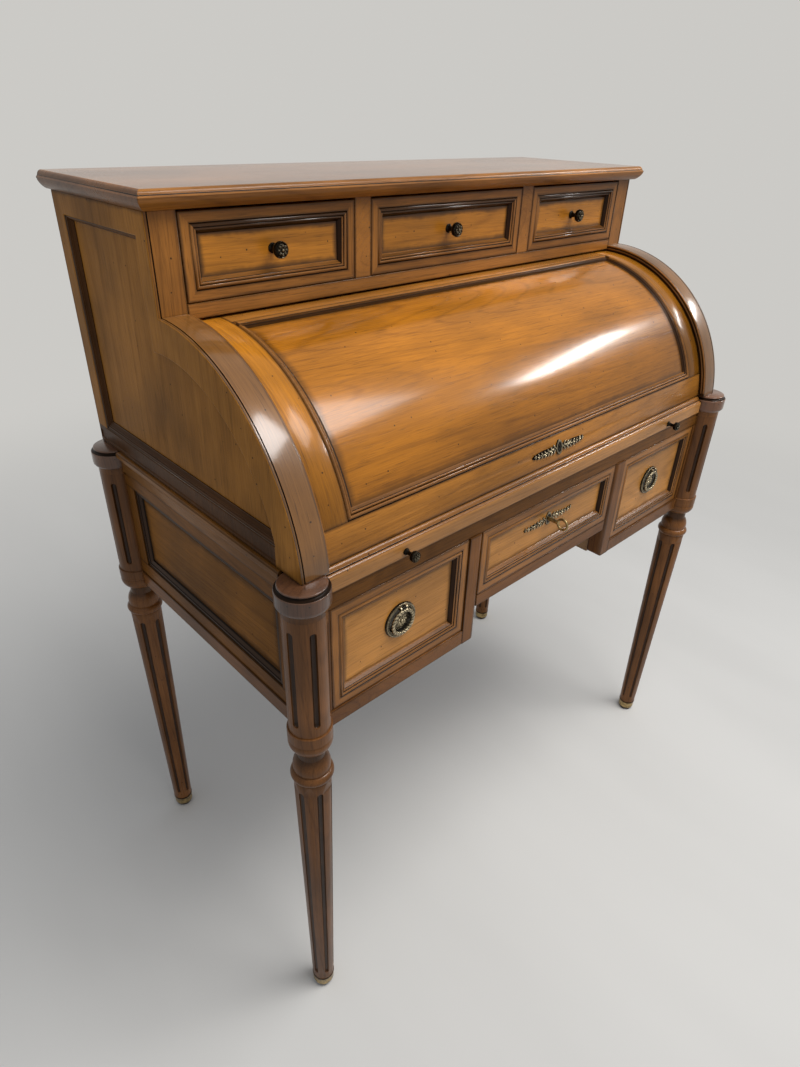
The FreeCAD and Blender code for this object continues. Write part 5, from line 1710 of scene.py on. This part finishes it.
# %% [markdown]
# ## Knobs
#
# Each small knob is a round head on a stem, with a beaded edge and a flower on its face. A lathe gives
# the head and the stem, so they are one spun profile, in shares of the knob's radius and length. The
# beads and the petals are pressed spheres in a circle.

# %% Knobs
KNOB_PROFILE = (
    (0, 0), (0.62, 0), (0.62, 0.07), (0.45, 0.12), (0.36, 0.24), (0.36, 0.42), (0.55, 0.50), (0.92, 0.58),
    (0.99, 0.66), (0.99, 0.74), (0.88, 0.84), (0.70, 0.79), (0.45, 0.84), (0, 0.86),
)
KNOB_FACE = 0.86
KNOB_BEADS, BEAD_RING, BEAD_LEVEL, BEAD_SHARE, BEAD_STRETCH = 22, 0.9, 0.79, 0.085, 1.2
KNOB_PETALS, PETAL_RING, PETAL_TILT = 8, 0.47, 0.25
PETAL_LONG, PETAL_WIDE, PETAL_THICK = 0.25, 0.16, 0.05
HEART_WIDE, HEART_THICK, HEART_RISE = 0.22, 0.09, 0.02
DRAWER_KNOB_WEAR_AND_HIGHLIGHT = by_height(0.0185, 0.028)
SLIDE_KNOB_WEAR_AND_HIGHLIGHT = by_height(0.0155, 0.026)


def rosette_knob(bm, radius, length):
    """A round knob on a stem, with a beaded edge and a flower on its face."""
    spun(bm, [(radius * out, length * up) for out, up in KNOB_PROFILE])
    across = radius * BEAD_SHARE
    bead = (across, across, across * BEAD_STRETCH)
    ring_of_drops(bm, KNOB_BEADS, radius * BEAD_RING, length * BEAD_LEVEL, bead, rounds=FEW_ROUNDS)
    petal = (radius * PETAL_LONG, radius * PETAL_WIDE, length * PETAL_THICK)
    ring_of_drops(bm, KNOB_PETALS, radius * PETAL_RING, length * KNOB_FACE, petal, PETAL_TILT)
    heart = (radius * HEART_WIDE, radius * HEART_WIDE, length * HEART_THICK)
    drop(bm, Vector((0, 0, length * (KNOB_FACE + HEART_RISE))), heart)


for place in PLACES:
    node = "upper_drawer_knob_" + place
    low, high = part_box(node)
    bm = bmesh.new()
    rosette_knob(bm, (high.x - low.x) / 2, high.y - low.y)
    seat = Vector(((low.x + high.x) / 2, high.y, (low.z + high.z) / 2))
    cast_piece(node + "_cast", bm, seat, DRAWER_KNOB_WEAR_AND_HIGHLIGHT, node)
low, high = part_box("slide_knobs")
knob_radius = (high.z - low.z) / 2
bm = bmesh.new()
for side in (-1, 1):
    one = bmesh.new()
    rosette_knob(one, knob_radius, high.y - low.y)
    join_in(bm, one, (side * (high.x - knob_radius), 0, 0))
seat = Vector((0, high.y, (low.z + high.z) / 2))
cast_piece("slide_knobs_cast", bm, seat, SLIDE_KNOB_WEAR_AND_HIGHLIGHT, "slide_knobs")

# %% [markdown]
# ## Ring pulls
#
# A ring of twisted rope hangs from a pin in front of a round plate with a rosette. The rope could be
# wound from strands. A plain ring of wire looks the same once its skin swells and shrinks along a
# spiral, so the ring is spun and its corners are moved in and out. The plate keeps its CAD shape, and
# the rosette and its two rims are set on it.

# %% Rope
ROPE_TURNS = 11
ROPE_SWELL = 0.24
ROPE_EDGE = 0.7
ROPE_SKIN = 1.1
ROPE_STEPS = 180
WIRE_SEGMENTS = 16


def wire_ring(bm, radius, wire, level, steps):
    """A ring of round wire that lies flat at a level; returns its corners."""
    before = set(bm.verts)
    loop = bmesh.ops.create_circle(bm, segments=WIRE_SEGMENTS, radius=wire)["verts"]
    bmesh.ops.rotate(bm, verts=loop, cent=(0, 0, 0), matrix=Matrix.Rotation(math.pi / 2, 3, "X"))
    bmesh.ops.translate(bm, verts=loop, vec=(radius, 0, level))
    edges = list({edge for vert in loop for edge in vert.link_edges})
    bmesh.ops.spin(
        bm,
        geom=loop + edges,
        axis=(0, 0, 1),
        cent=(0, 0, level),
        angle=math.tau,
        steps=steps,
        use_merge=True,
    )
    return [vert for vert in bm.verts if vert not in before]


def rope_ring(bm, radius, wire, level):
    """A ring of twisted rope that lies flat at a level."""
    for vert in wire_ring(bm, radius, wire, level, ROPE_STEPS):
        out = math.hypot(vert.co.x, vert.co.y) - radius
        up = vert.co.z - level
        round_ring = math.atan2(vert.co.y, vert.co.x)
        round_wire = math.atan2(up, out)
        twist = abs(math.sin(round_wire + ROPE_TURNS * round_ring)) ** ROPE_EDGE
        swell = 1 - ROPE_SWELL + ROPE_SWELL * twist
        direction = Vector((math.cos(round_ring), math.sin(round_ring), 0))
        vert.co = direction * (radius + out * swell) + Vector((0, 0, level + up * swell))


def on_ropes(radius, wire, level):
    """A rule for wear and painted light: bright on the strands of a rope ring, dark between them as painted
    shade.
    """

    def rule(point):
        reach = math.hypot(math.hypot(point.x, point.y) - radius, point.z - level)
        off_rope = reach > wire * ROPE_SKIN
        return 0.0 if off_rope else max(0.0, (reach / wire - 1 + ROPE_SWELL) / ROPE_SWELL)

    return rule


print("rope with", 2 * ROPE_TURNS, "strands to be seen")

# %% Ring pulls
RING_RADIUS = 0.0165
RING_WIRE = 0.0026
PIN_HANG = 0.0051
PIN_RODS = ((0.0022, 0.0064), (0.0013, 0.0118))
PIN_SEGMENTS = 20
EYE_WIDE, EYE_SHARE, EYE_DEEP = 0.0019, 0.62, 0.0015
PLATE_RIMS = ((0.92, 0.0015, 0.0027), (0.83, 0.0009, 0.0030))
PLATE_STEPS = 72
PEARLS, PEARL_RING, PEARL_LEVEL, PEARL_SIZE = 40, 0.49, 0.0027, 0.0008
# Each ring of petals: how many, how far out, how high, their half sizes, their tilt and their first angle.
ROSETTE = (
    (8, 0.0066, 0.0033, (0.0034, 0.0021, 0.0011), 0.18, 0.0),
    (8, 0.0044, 0.0041, (0.0026, 0.0015, 0.0010), 0.3, math.pi / 8),
)
ROSETTE_HEART, HEART_LEVEL = (0.0021, 0.0021, 0.0016), 0.0044
PLATE_WEAR_AND_HIGHLIGHT = by_height(0.0022, 0.0052)
for side in ("left", "right"):
    node = "pull_plate_" + side
    low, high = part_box(node)
    radius = (high.x - low.x) / 2
    place = Vector(((low.x + high.x) / 2, high.y, low.z + radius))
    bm = turned_copy(node)
    back_to_flat = (Matrix.Translation(place) @ FACE_FRONT).inverted()
    bmesh.ops.transform(bm, matrix=back_to_flat, verts=bm.verts[:])
    for share, wire, level in PLATE_RIMS:
        wire_ring(bm, radius * share, wire, level, PLATE_STEPS)
    ring_of_drops(bm, PEARLS, radius * PEARL_RING, PEARL_LEVEL, (PEARL_SIZE,) * 3, rounds=FEW_ROUNDS)
    for petals in ROSETTE:
        ring_of_drops(bm, *petals)
    drop(bm, Vector((0, 0, HEART_LEVEL)), ROSETTE_HEART)
    cast_piece(node + "_cast", bm, place, PLATE_WEAR_AND_HIGHLIGHT, node)
    node = "pull_ring_" + side
    ring_low, ring_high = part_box(node)
    pin_level = place.y - (ring_low.y + ring_high.y) / 2
    bm = bmesh.new()
    rope_ring(bm, RING_RADIUS, RING_WIRE, pin_level)
    for rod_radius, length in PIN_RODS:
        rod(bm, rod_radius, length, (0, RING_RADIUS + PIN_HANG, pin_level), PIN_SEGMENTS)
    eye = (EYE_WIDE, PIN_HANG * EYE_SHARE, EYE_DEEP)
    drop(bm, Vector((0, RING_RADIUS + PIN_HANG / 2, pin_level)), eye)
    ring_place = Vector((place.x, place.y, ring_low.z + RING_RADIUS + RING_WIRE))
    cast_piece(node + "_cast", bm, ring_place, on_ropes(RING_RADIUS, RING_WIRE, pin_level), node)

# %% [markdown]
# ## Laurel mounts
#
# Two laurel branches spread from an oval round each keyhole. The leaves could be drawn one by one, but
# on a branch they only grow shorter towards the tip, so each row is three pressed spheres that lean
# apart, with two berries. A bed and a stem lie under them, dark because they lie low: painted shade
# between the leaves. The oval is a spun disc, squeezed to its width.

# %% Laurel branches
LEAF_ROWS = 7
LEAF_LEANS = (-0.9, 0.0, 0.9)
FIRST_ROW, ROW_RUN, BRANCH_DROOP = 0.14, 0.70, 0.12
LEAF_LONGEST, LEAF_SHRINK, LEAF_OUT = 0.72, 0.34, 0.55
LEAF_LONG, LEAF_WIDE, LEAF_THICK, LEAF_TILT = 0.56, 0.23, 0.0013, 0.2
LEAF_LEVEL, LEAF_LIFT = 0.0011, 0.0004
LEAF_ROUNDS, BED_ROUNDS = (8, 6), (20, 6)
BERRY, BERRY_ALONG, BERRY_ACROSS, BERRY_LEVEL = (0.0010, 0.0010, 0.0008), 0.2, 0.30, 0.0021
BED_ALONG, BED_DROOP, BED_SHARE, BED_LEVEL, BED_THICK = 0.5, 0.06, 0.46, 0.0003, 0.0006
STEM_ALONG, STEM_DROOP, STEM_SHARE, STEM_RADIUS, STEM_SEGMENTS = 0.48, 0.05, 0.88, 0.0008, 10
OVAL_STEPS, OVAL_WIDE, OVAL_HIGH = 36, 0.62, 0.98
BUD, BUD_OUT, BUD_LEVEL = (0.0019, 0.0014, 0.0012), 0.72, 0.0014
LAUREL_WEAR_AND_HIGHLIGHT = by_height(0.0015, 0.0026)
OVAL_PROFILE = (
    (0, 0), (1.0, 0), (1.0, 0.0012), (0.92, 0.0022), (0.76, 0.0022), (0.66, 0.0012), (0.40, 0.0013),
    (0.30, 0.0017), (0.16, 0.0016), (0.13, 0.0004), (0, 0.0004),
)


def laurel_branch(bm, side, half_width, half_height):
    """One laurel branch with its leaves, berries, bed and stem."""
    for number in range(LEAF_ROWS):
        share = number / (LEAF_ROWS - 1)
        along = half_width * (FIRST_ROW + ROW_RUN * share)
        droop = -half_height * BRANCH_DROOP * math.sin(math.pi * share)
        length = half_height * (LEAF_LONGEST - LEAF_SHRINK * share)
        reach = length * LEAF_OUT
        level = LEAF_LEVEL + LEAF_LIFT * (number % 2)
        leaf = (length * LEAF_LONG, length * LEAF_WIDE, LEAF_THICK)
        for lean in LEAF_LEANS:
            angle = lean if side > 0 else math.pi - lean
            spot = Vector((side * along + reach * math.cos(angle), droop + reach * math.sin(angle), level))
            drop(bm, spot, leaf, angle, LEAF_TILT, LEAF_ROUNDS)
        for up in (-1, 1):
            out = side * (along + length * BERRY_ALONG)
            spot = Vector((out, droop + up * length * BERRY_ACROSS, BERRY_LEVEL))
            drop(bm, spot, BERRY, rounds=LEAF_ROUNDS)
    bed = (half_width * BED_SHARE, half_height * BED_SHARE, BED_THICK)
    spot = Vector((side * half_width * BED_ALONG, -half_height * BED_DROOP, BED_LEVEL))
    drop(bm, spot, bed, rounds=BED_ROUNDS)
    spot = (side * half_width * STEM_ALONG, -half_height * STEM_DROOP, STEM_RADIUS)
    rod(bm, STEM_RADIUS, half_width * STEM_SHARE, spot, STEM_SEGMENTS)


def laurel(bm, half_width, half_height):
    """Two laurel branches that spread from an oval cartouche."""
    for side in (-1, 1):
        laurel_branch(bm, side, half_width, half_height)
    oval = bmesh.new()
    spun(oval, OVAL_PROFILE, OVAL_STEPS)
    bmesh.ops.scale(oval, vec=(half_height * OVAL_WIDE, half_height * OVAL_HIGH, 1), verts=oval.verts[:])
    join_in(bm, oval)
    for side in (-1, 1):
        drop(bm, Vector((side * half_height * BUD_OUT, 0, BUD_LEVEL)), BUD)


print(LEAF_ROWS * len(LEAF_LEANS), "leaves on a branch")

# %% Laurel mounts
LAUREL_SPREAD = 1.08
MOUNT_HALF_HEIGHT = 0.011
MOUNT_ANGLE = math.radians(10.4)
MOUNT_RADIUS = CYLINDER_RADIUS + 0.0001
low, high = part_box("drawer_escutcheon")
bm = bmesh.new()
laurel(bm, (high.x - low.x) / 2 * LAUREL_SPREAD, (high.z - low.z) / 2)
seat = Vector((0, high.y, (low.z + high.z) / 2))
cast_piece("drawer_escutcheon_cast", bm, seat, LAUREL_WEAR_AND_HIGHLIGHT, "drawer_escutcheon")
low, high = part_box("cylinder_escutcheon")
bm = bmesh.new()
laurel(bm, (high.x - low.x) / 2 * LAUREL_SPREAD, MOUNT_HALF_HEIGHT)
seat_y = PIVOT.y - MOUNT_RADIUS * math.cos(MOUNT_ANGLE)
seat_z = PIVOT.z + MOUNT_RADIUS * math.sin(MOUNT_ANGLE)
lean_back = Matrix.Rotation(-MOUNT_ANGLE, 4, "X") @ FACE_FRONT
seat = Vector((0, seat_y, seat_z))
cast_piece("cylinder_escutcheon_cast", bm, seat, LAUREL_WEAR_AND_HIGHLIGHT, "cylinder_escutcheon", turn=lean_back)

# %% [markdown]
# ## The size, and the end
#
# Both the box of the CAD model and the box of the dressed desk are measured and kept, and the dressed
# desk's box is printed.

size_boxes = {
    "cad": [list(corner) for corner in cad_box],
    "visual": [list(corner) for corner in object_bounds()],
}
print("dressed desk from", size_boxes["visual"][0], "to", size_boxes["visual"][1])
